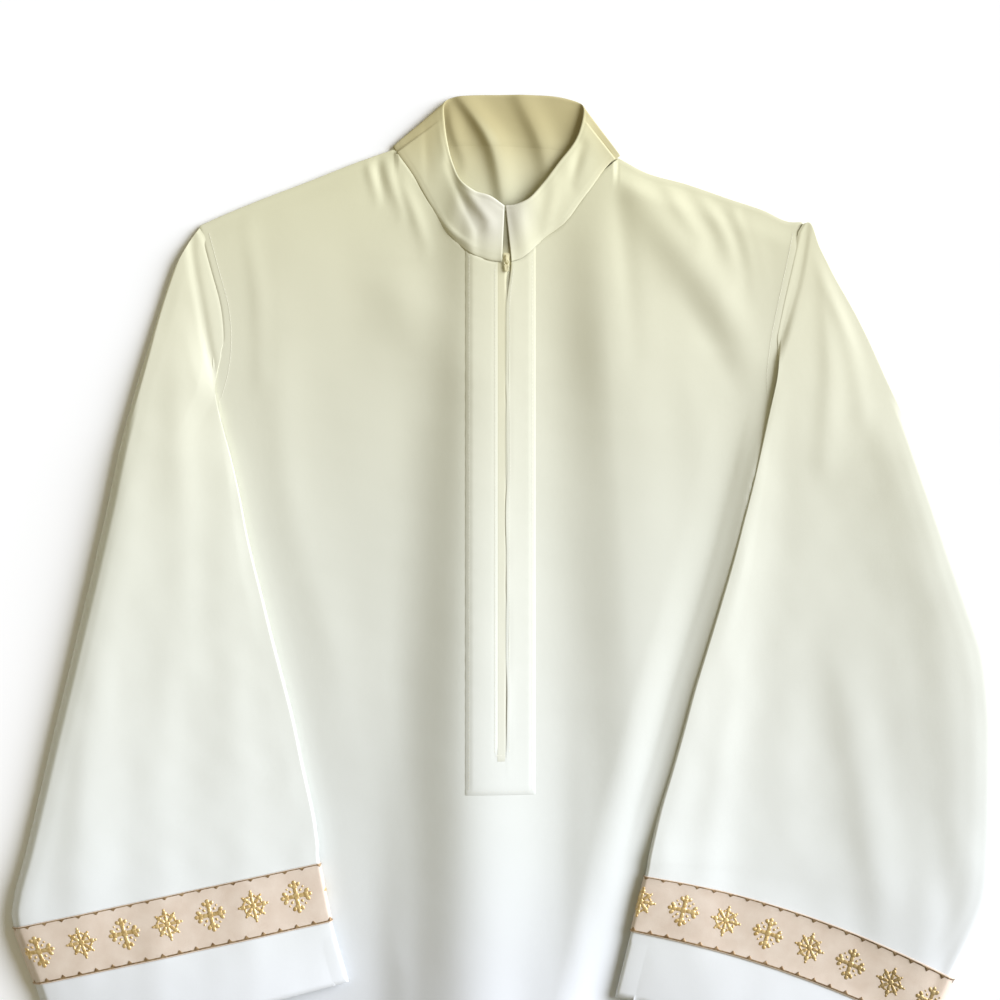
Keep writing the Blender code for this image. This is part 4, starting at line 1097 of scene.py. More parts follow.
def make_collar():
    """Stand collar with its crumples, turned edges and stitching grooves."""
    grid, u, v = collar_grid()
    normal = np.cross(np.gradient(grid, axis=1), np.gradient(grid, axis=0))
    normal /= np.linalg.norm(normal, axis=2)[..., None]
    relief = np.zeros(grid.shape[:2])
    for station, width, height, slant in COLLAR_CREASES[1:]:
        relief += height * MM * bell((u[None, :] - station - slant * (v - 0.5)) / width)
    grid = grid + normal * relief[..., None]
    half = normal * half_collar(u, v)[..., None]
    return slab("collar_cloth", grid + half, grid - half)


# ---------------------------------------------------------------- galloon
class Band:
    """The galloon's surface: positions by distance along it and share across it."""

    def __init__(self, side):
        table = SLEEVE_TABLES[side]
        count = len(table["bow"])
        first, last = count + GALLOON_ROWS[0], count + GALLOON_ROWS[1]
        grid = sleeve_grid(side, 34, 260, 120, float(first), float(last))
        faces = outward(grid.reshape(-1, 3), grid_faces(*grid.shape[:2], wrap=True))
        normal = point_normals(grid.reshape(-1, 3), faces).reshape(grid.shape)
        self.grid = grid + normal * GALLOON_CLEAR
        self.normal = normal
        steps = np.linalg.norm(np.roll(self.grid, -1, axis=1) - self.grid, axis=2).mean(axis=0)
        self.along = np.concatenate([[0.0], np.cumsum(steps)])
        self.length = self.along[-1]
        across = np.linalg.norm(np.diff(self.grid, axis=0), axis=2).sum(axis=0)
        self.width = float(np.median(across))

    def at(self, along, across, lift):
        """Points at a distance along the band and a share across it, lifted off its ground."""
        cols = self.grid.shape[1]
        along = np.mod(along, self.length)
        column = np.interp(along, self.along, np.arange(cols + 1))
        row = np.clip(across, 0.0, 1.0) * (self.grid.shape[0] - 1)
        c0, r0 = np.floor(column).astype(int) % cols, np.floor(row).astype(int)
        r1, c1 = np.minimum(r0 + 1, self.grid.shape[0] - 1), (c0 + 1) % cols
        fc, fr = (column - np.floor(column))[..., None], (row - r0)[..., None]
        out = []
        for field in (self.grid, self.normal):
            low = field[r0, c0] * (1.0 - fc) + field[r0, c1] * fc
            high = field[r1, c0] * (1.0 - fc) + field[r1, c1] * fc
            out.append(low * (1.0 - fr) + high * fr)
        normal = out[1] / np.linalg.norm(out[1], axis=-1)[..., None]
        return out[0] + normal * lift[..., None]


GROUND = 0.55 * MM          # height of the ribbon's ground over its underside
YARN_CLEAR = 0.03 * MM      # height of the figures' and the borders' foot over that ground
BORDER_CLEAR = 0.14 * MM
GALLOON_COLUMNS = 520
# the ribbon's section from edge to middle: share across it and height over its underside, mm
RIBBON_SECTION = (
    (0.0, 0.0), (0.0, 0.3), (0.008, 0.62), (0.02, 0.7), (0.045, 0.68), (0.06, 0.55), (0.2, 0.55), (0.4, 0.56),
)


def make_galloon(side):
    """Ribbon ground all round the sleeve, with thick selvedges."""
    band = Band(side)
    along = np.linspace(0.0, band.length, GALLOON_COLUMNS, endpoint=False)
    half = np.array(RIBBON_SECTION)
    across = np.concatenate([half[:, 0], 1.0 - half[::-1, 0]])
    lift = np.concatenate([half[:, 1], half[::-1, 1]]) * MM
    a, c = np.meshgrid(along, across)
    verts = band.at(a, c, np.repeat(lift[:, None], GALLOON_COLUMNS, 1)).reshape(-1, 3)
    faces = grid_faces(len(across), GALLOON_COLUMNS, wrap=True)
    return mesh_object(f"galloon_{side}_ribbon", verts, outward(verts, faces)), band


def dome(cx, cy, rx, ry, turn, high, sides=14):
    """Raised oval in the figure's plane: points (x, y, height) and faces."""
    ring = full_turn(sides)
    points = [(cx, cy, high)]
    for scale, level in ((0.55, 0.82), (0.9, 0.4), (1.0, -0.25)):
        px, py = rx * scale * np.cos(ring), ry * scale * np.sin(ring)
        x = cx + px * math.cos(turn) - py * math.sin(turn)
        y = cy + px * math.sin(turn) + py * math.cos(turn)
        points += [(a, b, high * level) for a, b in zip(x, y)]
    faces = [(0, 1 + j, 1 + (j + 1) % sides) for j in range(sides)]
    return points, faces + list(turned_over(grid_faces(3, sides, wrap=True, first=1)))


def cross_figure():
    """Cross with flared arms and knobbed ends, small knots between the arms; sizes in mm."""
    # one arm's ovals: place along and beside it, two radii, turn from the arm, height
    arm = (
        (4.4, 0.0, 3.8, 1.7, 0.0, 0.42),
        (8.0, 0.0, 2.6, 2.5, 0.0, 0.5),
        (9.2, 3.1, 2.1, 1.6, 0.7, 0.46),
        (9.2, -3.1, 2.1, 1.6, -0.7, 0.46),
        (11.2, 0.0, 1.9, 1.7, 0.0, 0.46),
        (4.2, 4.2, 1.3, 1.0, 0.78, 0.4),
        (6.6, 6.6, 0.9, 0.8, 0.78, 0.34),
    )
    shapes = [(0.0, 0.0, 3.0, 3.0, 0.0, 0.5)]
    for i in range(4):
        angle = i * math.pi / 2.0
        cosine, sine = math.cos(angle), math.sin(angle)
        for x, y, rx, ry, turn, high in arm:
            shapes.append((x * cosine - y * sine, x * sine + y * cosine, rx, ry, angle + turn, high))
    return shapes


def rosette_figure():
    """Eight-rayed rosette with small curls between its rays; sizes in mm."""
    shapes = [(0.0, 0.0, 2.6, 2.6, 0.0, 0.5)]
    for i in range(8):
        angle = i * math.pi / 4.0
        long = 1.0 if i % 2 == 0 else 0.88
        between = angle + math.pi / 8.0
        # each oval: distance out, direction, two radii, turn, height
        for out, way, rx, ry, turn, high in (
            (4.8, angle, 3.0, 1.45, angle, 0.42),
            (8.7 * long, angle, 2.3, 1.9, angle, 0.48),
            (11.6 * long, angle, 1.3, 1.0, angle, 0.4),
            (7.6, between, 1.9, 0.9, between + 1.1, 0.36),
        ):
            shapes.append((out * math.cos(way), out * math.sin(way), rx, ry, turn, high))
    return shapes


def add_shapes(store, band, centre, shapes):
    """Adds a figure's raised ovals to the mesh in store, laid on the band."""
    verts, faces = store
    for cx, cy, rx, ry, turn, high in shapes:
        points, cells = dome(cx, cy, rx, ry, turn, high)
        points = np.array(points) * MM
        across = 0.5 - points[:, 1] / band.width
        start = len(verts)
        verts.extend(band.at(centre + points[:, 0], across, GROUND + YARN_CLEAR + points[:, 2]))
        faces.extend([start + i for i in cell] for cell in cells)


LINE_COLUMNS = 1400
# the line's section: share across it and height, mm
LINE_SECTION = ((0.0, 0.08), (0.15, 0.272), (0.5, 0.336), (0.85, 0.272), (1.0, 0.08))
LINE_INSET = 0.9 * MM
LINE_WIDTH = 1.15 * MM
TOOTH_PITCH = 14.0 * MM
TOOTH_LENGTH = 2.4 * MM


def edge_lines(store, band):
    """Dark gold line near each edge of the ribbon with small pointed lumps towards its middle."""
    verts, faces = store
    along = np.linspace(0.0, band.length, LINE_COLUMNS, endpoint=False)
    pitch = band.length / round(band.length / TOOTH_PITCH)
    phase = np.abs(np.mod(along, pitch) / pitch - 0.5) * 2.0
    tooth = np.clip(1.0 - phase / 0.30, 0.0, 1.0) * TOOTH_LENGTH
    for far_edge in (False, True):
        rows = []
        for share, lift in LINE_SECTION:
            reach = (LINE_INSET + share * (LINE_WIDTH + tooth)) / band.width
            across = 1.0 - reach if far_edge else reach
            rows.append(band.at(along, across, np.full(LINE_COLUMNS, GROUND + BORDER_CLEAR + lift * MM)))
        quads = grid_faces(len(rows), LINE_COLUMNS, wrap=True, first=len(verts))
        verts.extend(np.array(rows).reshape(-1, 3))
        faces.extend((quads[:, ::-1] if far_edge else quads).tolist())


FIGURE_PITCH = 35.8 * MM    # distance between figures; the join lies under the sleeve


def make_figures(side, band, start):
    """Gold figures along the ribbon, a cross and a rosette in turn."""
    store = ([], [])
    for i in range(int(band.length / FIGURE_PITCH)):
        shapes = cross_figure() if i % 2 == 0 else rosette_figure()
        add_shapes(store, band, start + i * FIGURE_PITCH, shapes)
    gold = mesh_object(f"galloon_{side}_figures", *store)
    lines = ([], [])
    edge_lines(lines, band)
    border = mesh_object(f"galloon_{side}_border", *lines)
    for obj in (gold, border):
        recalculate(obj)
    return gold, border


def recalculate(obj):
    """Turns the faces of small raised pieces to point away from the cloth."""
    bm = bmesh.new()
    bm.from_mesh(obj.data)
    on_top = [f for f in bm.faces if f.calc_area() > 0.0 and f.calc_center_median().z > 12.0 * MM]
    if sum(f.normal.z * f.calc_area() for f in on_top) < 0.0:
        bmesh.ops.reverse_faces(bm, faces=bm.faces)
    bm.to_mesh(obj.data)
    bm.free()


# ---------------------------------------------------------------- stitches and zip
def stitch_line(store, points, ups, length=2.6 * MM, gap=0.55 * MM, radius=0.21 * MM):
    """Adds a row of short thread stitches along a path of points with the cloth's normals."""
    verts, faces = store
    steps = np.linalg.norm(np.diff(points, axis=0), axis=1)
    reach = np.concatenate([[0.0], np.cumsum(steps)])
    sides, rings = 6, 5
    turn = full_turn(sides)[:, None]
    arch = np.sin(np.linspace(0.0, math.pi, rings))
    for first in np.arange(gap, reach[-1] - length, length + gap):
        t = np.linspace(first, first + length, rings)
        centre, up = (np.stack([np.interp(t, reach, line[:, k]) for k in range(3)], axis=1)
                      for line in (points, ups))
        forward = centre[-1] - centre[0]
        forward /= max(np.linalg.norm(forward), TINY)
        side = np.cross(forward, up[2])
        side /= max(np.linalg.norm(side), TINY)
        faces.extend(grid_faces(rings, sides, wrap=True, first=len(verts)))
        for i in range(rings):
            thick = radius * (0.45 + 0.55 * arch[i])
            middle = centre[i] + up[i] * (radius * (-0.7 + 1.3 * arch[i]))
            verts.extend(middle + thick * (np.cos(turn) * side + np.sin(turn) * up[i]))


def on_surface(x, y, height):
    """Points and normals of a height function along a path; x or y may be one number."""
    x, y = np.broadcast_arrays(x, y)
    step = 0.5 * MM
    dx = (height(x + step, y) - height(x - step, y)) / (2.0 * step)
    dy = (height(x, y + step) - height(x, y - step)) / (2.0 * step)
    normal = np.stack([-dx, -dy, np.ones_like(dx)], axis=1)
    normal /= np.linalg.norm(normal, axis=1)[:, None]
    return np.stack([x, y, height(x, y)], axis=1), normal


SEAM_STITCH = 6.2 * MM      # from the armhole seam to its stitching
HEM_STITCH = 24.2 * MM      # height of the hem's stitching over its edge


def make_stitches():
    """Stitching of the placket, the zip, the armhole seams and the hem."""
    store = ([], [])

    def sew(x, y, height, **thread):
        stitch_line(store, *on_surface(x, y, height), **thread)

    left, right = PLACKET_LEFT + STITCH_INSET, PLACKET_RIGHT - STITCH_INSET
    foot, zip_foot = PLACKET_FOOT + STITCH_INSET, SLIT_FOOT - 3.0 * MM
    high_left, high_right = (float(top_y(x)) - 2.0 * MM for x in (left, right))
    sew(left, np.linspace(high_left, foot, 400), placket_height)
    sew(np.linspace(left, right, 60), foot, placket_height)
    sew(right, np.linspace(foot, high_right, 400), placket_height)
    y = np.linspace(582.0 * MM, zip_foot, 390)
    for edge in (SLIT_LEFT - ZIP_STITCH, SLIT_RIGHT + ZIP_STITCH):
        x = np.full_like(y, edge)
        sew(spread_x(x, y) + flap_wave(x, y), y, placket_height)
    sew(np.linspace(SLIT_LEFT - ZIP_STITCH, SLIT_RIGHT + ZIP_STITCH, 12), zip_foot, placket_height)
    y = np.linspace(612.0, 470.0, 160) * MM
    for wearers_left, inset in ((True, -SEAM_STITCH), (False, SEAM_STITCH)):
        sew(side_x(y, wearers_left) + inset, y, front_surface)
    sew(np.linspace(-380.0, 380.0, 700) * MM, HEM_Y + HEM_STITCH, front_surface, length=3.0 * MM)
    return mesh_object("stitching", *store)


COIL_X = 0.2 * MM           # middle of the coil, mostly under the opening's flap
COIL_PITCH = 1.9 * MM


def make_zip_chain():
    """Coil teeth of the closed zip, two interlocked rows on the tape."""
    verts, faces = [], []
    sides, rings = 6, 6
    turn = full_turn(sides)
    for y in np.arange(SLIT_FOOT - 4.0 * MM, 583.0 * MM, COIL_PITCH):
        spread = float(spread_x(np.array(SLIT_RIGHT), np.array(y))) - SLIT_RIGHT
        axis_x = COIL_X + spread * 0.5
        base = float(tape_surface(np.array(axis_x), np.array(y)))
        for row in (-1.0, 1.0):
            shift = 0.0 if row > 0 else COIL_PITCH / 2.0
            start = len(verts)
            for t in np.linspace(0.0, 1.0, rings):
                x = axis_x + row * (1.1 * MM - 1.5 * MM * t)
                z = base - 0.25 * MM + 0.4 * MM * math.sin(math.pi * min(t * 1.05, 1.0)) ** 0.6
                y_ring = y + shift + 0.25 * MM * t
                for a in turn:
                    verts.append((x, y_ring + 0.40 * MM * math.cos(a), z + 0.26 * MM * math.sin(a)))
            quads = grid_faces(rings, sides, wrap=True, first=start)
            faces.extend(turned_over(quads) if row < 0 else quads)
            last = start + (rings - 1) * sides
            faces.append(tuple(last + i for i in (range(sides) if row < 0 else reversed(range(sides)))))
    return mesh_object("zip_chain", verts, faces)


# ---------------------------------------------------------------- slider and pull tab
HINGE = (HINGE_X, SLIDER_Y, 11.79 * MM)
SLIDER_FOOT = 8.35 * MM
SLIDER_TOP = 10.45 * MM
ARCH_RINGS = 19
ARCH_REACH = 3.15 * MM      # half the arch's length, and its rise
ARCH_RISE = 2.7 * MM
ARCH_SECTION = ((-0.62, -0.32), (-0.4, 0.32), (0.4, 0.32), (0.62, -0.32))
# half outlines (x, y from the slider's centre), mm, from the lower end to the upper end
BODY_OUTLINE = (
    (0.0, -5.4), (1.1, -5.35), (2.0, -4.7), (2.3, -3.0), (2.45, 0.0), (2.75, 2.6), (2.9, 4.2), (2.3, 5.1),
    (0.9, 5.4),
)
FACE_OUTLINE = ((0.0, -4.6), (0.9, -4.5), (1.5, -3.6), (1.6, 0.0), (1.9, 2.6), (1.7, 3.8), (0.8, 4.4))
TAB_OUTLINE = (
    (0.0, -10.4), (0.85, -10.2), (1.4, -9.4), (1.6, -8.2), (1.8, -6.8), (2.05, -5.4), (1.9, -4.6), (0.7, -4.4)
)
DISH_OUTLINE = ((0.0, -9.5), (0.6, -9.3), (0.95, -8.4), (1.1, -7.2), (1.2, -6.1), (0.5, -5.7))


def mirrored(outline):
    """Closed outline from its right half, anticlockwise."""
    right = list(outline)
    left = [(-x, y) for x, y in reversed(outline) if x > 0.0]
    return np.array(right + left) * MM


def fine_outline(points, steps=4):
    """Closed outline with its corners rounded."""
    count = len(points)
    index = np.arange(-3, count + 3)
    around = points[index % count]
    u = np.linspace(0.0, count, count * steps, endpoint=False)
    return np.stack([spline(u, index, around[:, 0]), spline(u, index, around[:, 1])], axis=1)


def layered(parts, outline, layers):
    """Adds a rounded prism: the outline drawn in by each layer's inset at its height."""
    centre = outline.mean(axis=0)
    size = np.abs(outline - centre).max()
    rings = [centre + (outline - centre) * (1.0 - inset * MM / size) for inset, _ in layers]
    verts = [(x, y, z) for ring, (_, z) in zip(rings, layers) for x, y in ring]
    add_closed(parts, verts, len(layers), len(outline))


def add_closed(parts, verts, rings, sides):
    """Adds a closed part made of rings of points, with a cap at each end."""
    faces = grid_faces(rings, sides, wrap=True).tolist()
    faces.append(tuple(reversed(range(sides))))
    faces.append(tuple((rings - 1) * sides + j for j in range(sides)))
    parts.append((np.array(verts), faces))


def ring_bar(parts, path, radius, sides=10):
    """Adds a round bar along a closed path."""
    ahead = np.roll(path, -1, axis=0) - np.roll(path, 1, axis=0)
    ahead /= np.linalg.norm(ahead, axis=1)[:, None]
    side = np.cross(ahead, np.array([0.0, 0.0, 1.0])) + np.array([TINY, 0.0, 0.0])
    side /= np.linalg.norm(side, axis=1)[:, None]
    up = np.cross(side, ahead)
    turn = full_turn(sides)
    ring = side[:, None] * np.cos(turn)[None, :, None] * radius
    ring = ring + up[:, None] * np.sin(turn)[None, :, None] * radius
    verts = (path[:, None] + ring).reshape(-1, 3)
    faces = grid_faces(len(path) + 1, sides, wrap=True) % len(verts)
    parts.append((verts, faces.tolist()))


def assembled(name, parts, offset):
    """One object of closed parts, moved by the offset."""
    verts, faces = [], []
    for points, cells in parts:
        start = sum(len(v) for v in verts)
        verts.append(points + np.array(offset))
        faces += [tuple(start + i for i in cell) for cell in cells]
    mesh = bpy.data.meshes.new(name)
    mesh.from_pydata(np.concatenate(verts).tolist(), [], faces)
    bm = bmesh.new()
    bm.from_mesh(mesh)
    bmesh.ops.recalc_face_normals(bm, faces=bm.faces)
    bm.to_mesh(mesh)
    bm.free()
    mesh.shade_smooth()
    mesh.set_sharp_from_angle(angle=math.radians(38.0))
    obj = bpy.data.objects.new(name, mesh)
    bpy.context.scene.collection.objects.link(obj)
    return obj


def make_slider():
    """Slider: lower and upper plates with a raised face, and the arch that holds the pull tab."""
    parts = []
    body = fine_outline(mirrored(BODY_OUTLINE))
    face = fine_outline(mirrored(FACE_OUTLINE))
    low, top = SLIDER_FOOT, SLIDER_TOP
    layered(parts, body, ((0.5, low), (0.1, low + 0.15 * MM), (0.0, low + 0.35 * MM), (0.2, low + 0.7 * MM)))
    layered(parts, body, ((0.7, low + 0.5 * MM), (0.7, top - 0.6 * MM)))
    layered(parts, body, (
        (0.3, top - 0.9 * MM), (0.0, top - 0.7 * MM), (0.05, top - 0.35 * MM), (0.35, top - 0.15 * MM),
        (0.7, top - 0.1 * MM),
    ))
    layered(parts, face, ((0.0, top - 0.3 * MM), (0.1, top - 0.02 * MM), (0.4, top + 0.06 * MM)))
    t = np.linspace(0.0, math.pi, ARCH_RINGS)
    height = top - 0.1 * MM + ARCH_RISE * np.sin(t) ** 0.55
    arch = np.stack([np.zeros_like(t), ARCH_REACH * np.cos(t), height], axis=1)
    slopes = np.gradient(arch, axis=0)
    slopes /= np.linalg.norm(slopes, axis=1)[:, None]
    verts = []
    for middle, (_, forward, upward) in zip(arch, slopes):
        out = np.array([0.0, -upward, forward])
        out = -out if out[2] < 0.0 and abs(middle[1]) < ARCH_REACH else out
        verts += [middle + np.array([a * MM, 0.0, 0.0]) + out * b * MM for a, b in ARCH_SECTION]
    add_closed(parts, verts, ARCH_RINGS, len(ARCH_SECTION))
    return assembled("zip_slider_metal", parts, (HINGE[0], HINGE[1], 0.0))


def make_pull():
    """Pull tab: cross bar and eye of thick wire, and a dished drop-shaped tab."""
    parts = []
    t = np.linspace(0.0, 2.0 * math.pi, 28, endpoint=False)
    eye_x = 1.9 * MM * np.cos(t)
    eye_y = -2.4 * MM + 2.4 * MM * np.sin(t)
    ring_bar(parts, np.stack([eye_x, eye_y, np.zeros_like(t)], axis=1), 0.5 * MM)
    tab = fine_outline(mirrored(TAB_OUTLINE))
    dish = fine_outline(mirrored(DISH_OUTLINE))
    layered(parts, tab, (
        (0.35, -0.45 * MM), (0.05, -0.3 * MM), (0.0, 0.1 * MM), (0.12, 0.34 * MM), (0.4, 0.46 * MM),
        (0.75, 0.42 * MM),
    ))
    ring = np.column_stack([dish, np.full(len(dish), 0.42 * MM)])
    ring_bar(parts, ring, 0.14 * MM, sides=6)
    return assembled("zip_pull_metal", parts, HINGE)


# ---------------------------------------------------------------- materials
def node(tree, kind, **values):
    """New shader node with its properties set."""
    made = tree.nodes.new(kind)
    for name, value in values.items():
        setattr(made, name, value)
    return made


def plain_material(name):
    """Material with its shader nodes, its Principled shader and the object's own coordinates."""
    mat = bpy.data.materials.new(name)
    mat.use_nodes = True
    tree = mat.node_tree
    return mat, tree, tree.nodes["Principled BSDF"], node(tree, "ShaderNodeTexCoord").outputs["Object"]


def linear(r, g, b):
    """Linear colour from 8-bit sRGB."""
    shares = (v / 255.0 for v in (r, g, b))
    return tuple(v / 12.92 if v <= 0.0404 else ((v + 0.055) / 1.055) ** 2.4 for v in shares)


def ramp(tree, value, stops):
    """Colour of a value along a ramp with those stops."""
    made = node(tree, "ShaderNodeValToRGB")
    elements = made.color_ramp.elements
    while len(elements) < len(stops):
        elements.new(0.5)
    for element, (place, colour) in zip(elements, stops):
        element.position = place
        element.color = (*colour, 1.0)
    tree.links.new(value, made.inputs["Fac"])
    return made.outputs["Color"]


def noise(tree, where, scale, detail=2.0):
    """Value of a noise at a place."""
    made = node(tree, "ShaderNodeTexNoise")
    made.inputs["Scale"].default_value = scale
    made.inputs["Detail"].default_value = detail
    tree.links.new(where, made.inputs["Vector"])
    return made.outputs["Fac"]


def maths(tree, operation, a, b):
    """Result of one operation on two values."""
    made = node(tree, "ShaderNodeMath", operation=operation)
    tree.links.new(a, made.inputs[0])
    tree.links.new(b, made.inputs[1])
    return made.outputs[0]


def scaled_colour(tree, colour, factor):
    """Colour times a factor."""
    made = node(tree, "ShaderNodeVectorMath", operation="SCALE")
    tree.links.new(colour, made.inputs[0])
    tree.links.new(factor, made.inputs["Scale"])
    return made.outputs[0]


def mixed_colour(tree, colour, other, share):
    """Colour mixed with another by a share."""
    made = node(tree, "ShaderNodeMix", data_type="RGBA")
    made.inputs["B"].default_value = (*other, 1.0)
    tree.links.new(colour, made.inputs["A"])
    tree.links.new(share, made.inputs["Factor"])
    return made.outputs["Result"]


def fade_between(tree, value, start, end, low, high, interpolation="SMOOTHSTEP"):
    """Value mapped from start..end to low..high."""
    made = node(tree, "ShaderNodeMapRange", interpolation_type=interpolation)
    made.inputs["From Min"].default_value = start
    made.inputs["From Max"].default_value = end
    made.inputs["To Min"].default_value = low
    made.inputs["To Max"].default_value = high
    tree.links.new(value, made.inputs["Value"])
    return made.outputs["Result"]


def separated(tree, where):
    """The coordinates of a place as values."""
    made = node(tree, "ShaderNodeSeparateXYZ")
    tree.links.new(where, made.inputs[0])
    return made.outputs


def add_bump(tree, shader, height, strength, distance):
    """Gives the shader fine relief from a height."""
    bump = node(tree, "ShaderNodeBump")
    bump.inputs["Strength"].default_value = strength
    bump.inputs["Distance"].default_value = distance
    tree.links.new(height, bump.inputs["Height"])
    tree.links.new(bump.outputs["Normal"], shader.inputs["Normal"])


def weave_height(tree, where, thread, tilt=0.0):
    """Height of a plain weave: two crossed sets of threads with some slub."""
    mapping = node(tree, "ShaderNodeMapping")
    mapping.inputs["Rotation"].default_value = (0.0, 0.0, tilt)
    tree.links.new(where, mapping.inputs["Vector"])
    turned = mapping.outputs["Vector"]
    heights = []
    for direction in ("X", "Y"):
        wave = node(tree, "ShaderNodeTexWave", wave_type="BANDS", bands_direction=direction)
        wave.inputs["Scale"].default_value = 0.5 / thread
        wave.inputs["Distortion"].default_value = 0.6
        tree.links.new(turned, wave.inputs["Vector"])
        heights.append(wave.outputs["Fac"])
    slub = noise(tree, turned, 240.0)
    return maths(tree, "ADD", maths(tree, "MAXIMUM", *heights), slub)


def painted_neck_shade(tree, split):
    """Share of painted shade inside the neck, darker and yellower, most near the collar's upper edge."""
    up = fade_between(tree, split["Y"], 630.0 * MM, 715.0 * MM, 0.0, 1.0)
    deep = fade_between(tree, split["Z"], 4.5 * MM, 8.5 * MM, 1.0, 0.0)
    return maths(tree, "MULTIPLY", up, deep)


COLLAR_ENDS_PLACE = (-10.0 * MM, 628.0 * MM, 11.0 * MM)


def painted_highlight_ends(tree, where, split):
    """Share of painted highlight, a whiter tone, where the collar's two raised front ends meet."""
    middle = node(tree, "ShaderNodeVectorMath", operation="SUBTRACT")
    middle.inputs[1].default_value = COLLAR_ENDS_PLACE
    tree.links.new(where, middle.inputs[0])
    far = node(tree, "ShaderNodeVectorMath", operation="LENGTH")
    tree.links.new(middle.outputs[0], far.inputs[0])
    near = fade_between(tree, far.outputs["Value"], 8.0 * MM, 42.0 * MM, 0.75, 0.0)
    high = fade_between(tree, split["Z"], 6.5 * MM, 9.5 * MM, 0.0, 1.0)
    return maths(tree, "MULTIPLY", near, high)


# the cloth's warm-white colour with painted light, from the cuffs (0) to the collar's upper edge (1): painted
# cool light below, painted warm cream light above, 8-bit sRGB
CLOTH_AND_PAINTED_LIGHT_TONES = (
    (0.0, (232, 235, 243)),
    (0.25, (233, 236, 232)),
    (0.55, (231, 232, 217)),
    (0.80, (229, 227, 200)),
    (0.93, (229, 226, 190)),
    (1.0, (223, 215, 164)),
)
TONES_FROM_Y = -100.0 * MM
TONES_TO_Y = 730.0 * MM
# tone of the painted highlight on the collar's front ends
COLLAR_ENDS_HIGHLIGHT_TONE = (238, 235, 222)
# tone of the painted shade inside the neck
PAINTED_NECK_SHADE_TONE = (220, 207, 154)
CLOTH_THREAD = 0.55 * MM
RIBBON_THREAD = 0.7 * MM


def cloth_material(name, painted_light_scale=1.0, collar=False, tint=(1.0, 1.0, 1.0), slit=False):
    """Poly-cotton cloth: warm white, painted creamier towards the collar and whiter down the robe as painted
    warm and cool light, fine plain weave with a soft sheen.
    """
    mat, tree, shader, where = plain_material(name)
    split = separated(tree, where)
    # painted light: the colour ramp along Y paints warm light at the collar and cool light at the cuffs
    place = fade_between(tree, split["Y"], TONES_FROM_Y, TONES_TO_Y, 0.0, 1.0, "LINEAR")
    stops = [(at, tuple(c * t for c, t in zip(linear(*tone), tint))) for at, tone in CLOTH_AND_PAINTED_LIGHT_TONES]
    colour = ramp(tree, place, stops)
    blotch = noise(tree, where, 9.0, 3.0)
    # painted light: a scale above 1 paints a copy of the cloth lighter as if more lit, below 1 darker as
    # painted shade
    factor = fade_between(tree, blotch, 0.0, 1.0, 0.865 * painted_light_scale, 0.905 * painted_light_scale, "LINEAR")
    if collar:
        # painted highlight: the collar's raised front ends drawn whiter
        colour = mixed_colour(tree, colour, linear(*COLLAR_ENDS_HIGHLIGHT_TONE), painted_highlight_ends(tree, where, split))
        # painted shade inside the neck: darker and yellower where the collar's back lies low
        colour = mixed_colour(tree, colour, linear(*PAINTED_NECK_SHADE_TONE), painted_neck_shade(tree, split))
        shade = fade_between(tree, painted_neck_shade(tree, split), 0.0, 1.0, 1.0, 0.80)
        factor = maths(tree, "MULTIPLY", factor, shade)
    # painted shade: the tape drawn darker at its top, deep in the slit between the collar's ends
    if slit:
        painted_slit_shade = fade_between(tree, split["Y"], 590.0 * MM, 604.0 * MM, 1.0, 0.55)
        factor = maths(tree, "MULTIPLY", factor, painted_slit_shade)
    tree.links.new(scaled_colour(tree, colour, factor), shader.inputs["Base Color"])
    shader.inputs["Roughness"].default_value = 0.78
    shader.inputs["Sheen Weight"].default_value = 0.12
    shader.inputs["Sheen Roughness"].default_value = 0.4
    shader.inputs["Specular IOR Level"].default_value = 0.25
    add_bump(tree, shader, weave_height(tree, where, CLOTH_THREAD), 0.22, 0.22 * MM)
    return mat


def ribbon_material():
    """Ground of the galloon: pinkish-beige ribbon with a fine crosswise rib."""
    mat, tree, shader, where = plain_material("galloon_ground")
    stops = ((0.3, linear(214, 196, 178)), (0.7, linear(225, 210, 194)))
    tone = ramp(tree, noise(tree, where, 60.0, 4.0), stops)
    tree.links.new(tone, shader.inputs["Base Color"])
    shader.inputs["Roughness"].default_value = 0.55
    shader.inputs["Sheen Weight"].default_value = 0.2
    shader.inputs["Specular IOR Level"].default_value = 0.4
    add_bump(tree, shader, weave_height(tree, where, RIBBON_THREAD, 0.24), 0.35, 0.2 * MM)
    return mat


def gold_material(name, light, dark, rough):
    """Metallic yarn: gold with the broken glints of its threads, painted darker towards the wearer's left as
    painted shade.
    """
    mat, tree, shader, where = plain_material(name)
    glint = noise(tree, where, 420.0, 3.0)
    tone = ramp(tree, glint, ((0.35, linear(*dark)), (0.65, linear(*light))))
    # painted shade: the gold is drawn darker towards the wearer's left
    deep = fade_between(tree, separated(tree, where)["X"], 160.0 * MM, 320.0 * MM, 1.0, 0.6)
    tree.links.new(scaled_colour(tree, tone, deep), shader.inputs["Base Color"])
    shader.inputs["Metallic"].default_value = 0.6
    shader.inputs["Roughness"].default_value = rough
    add_bump(tree, shader, glint, 0.5, 0.3 * MM)
    return mat


def thread_material(name, colour, rough=0.6):
    """Thread or enamel: a plain tone with fine unevenness."""
    mat, tree, shader, where = plain_material(name)
    uneven = noise(tree, where, 500.0)
    dark = tuple(v - 10 for v in colour)
    tone = ramp(tree, uneven, ((0.35, linear(*dark)), (0.65, linear(*colour))))
    tree.links.new(tone, shader.inputs["Base Color"])
    shader.inputs["Roughness"].default_value = rough
    add_bump(tree, shader, uneven, 0.2, 0.1 * MM)
    return mat


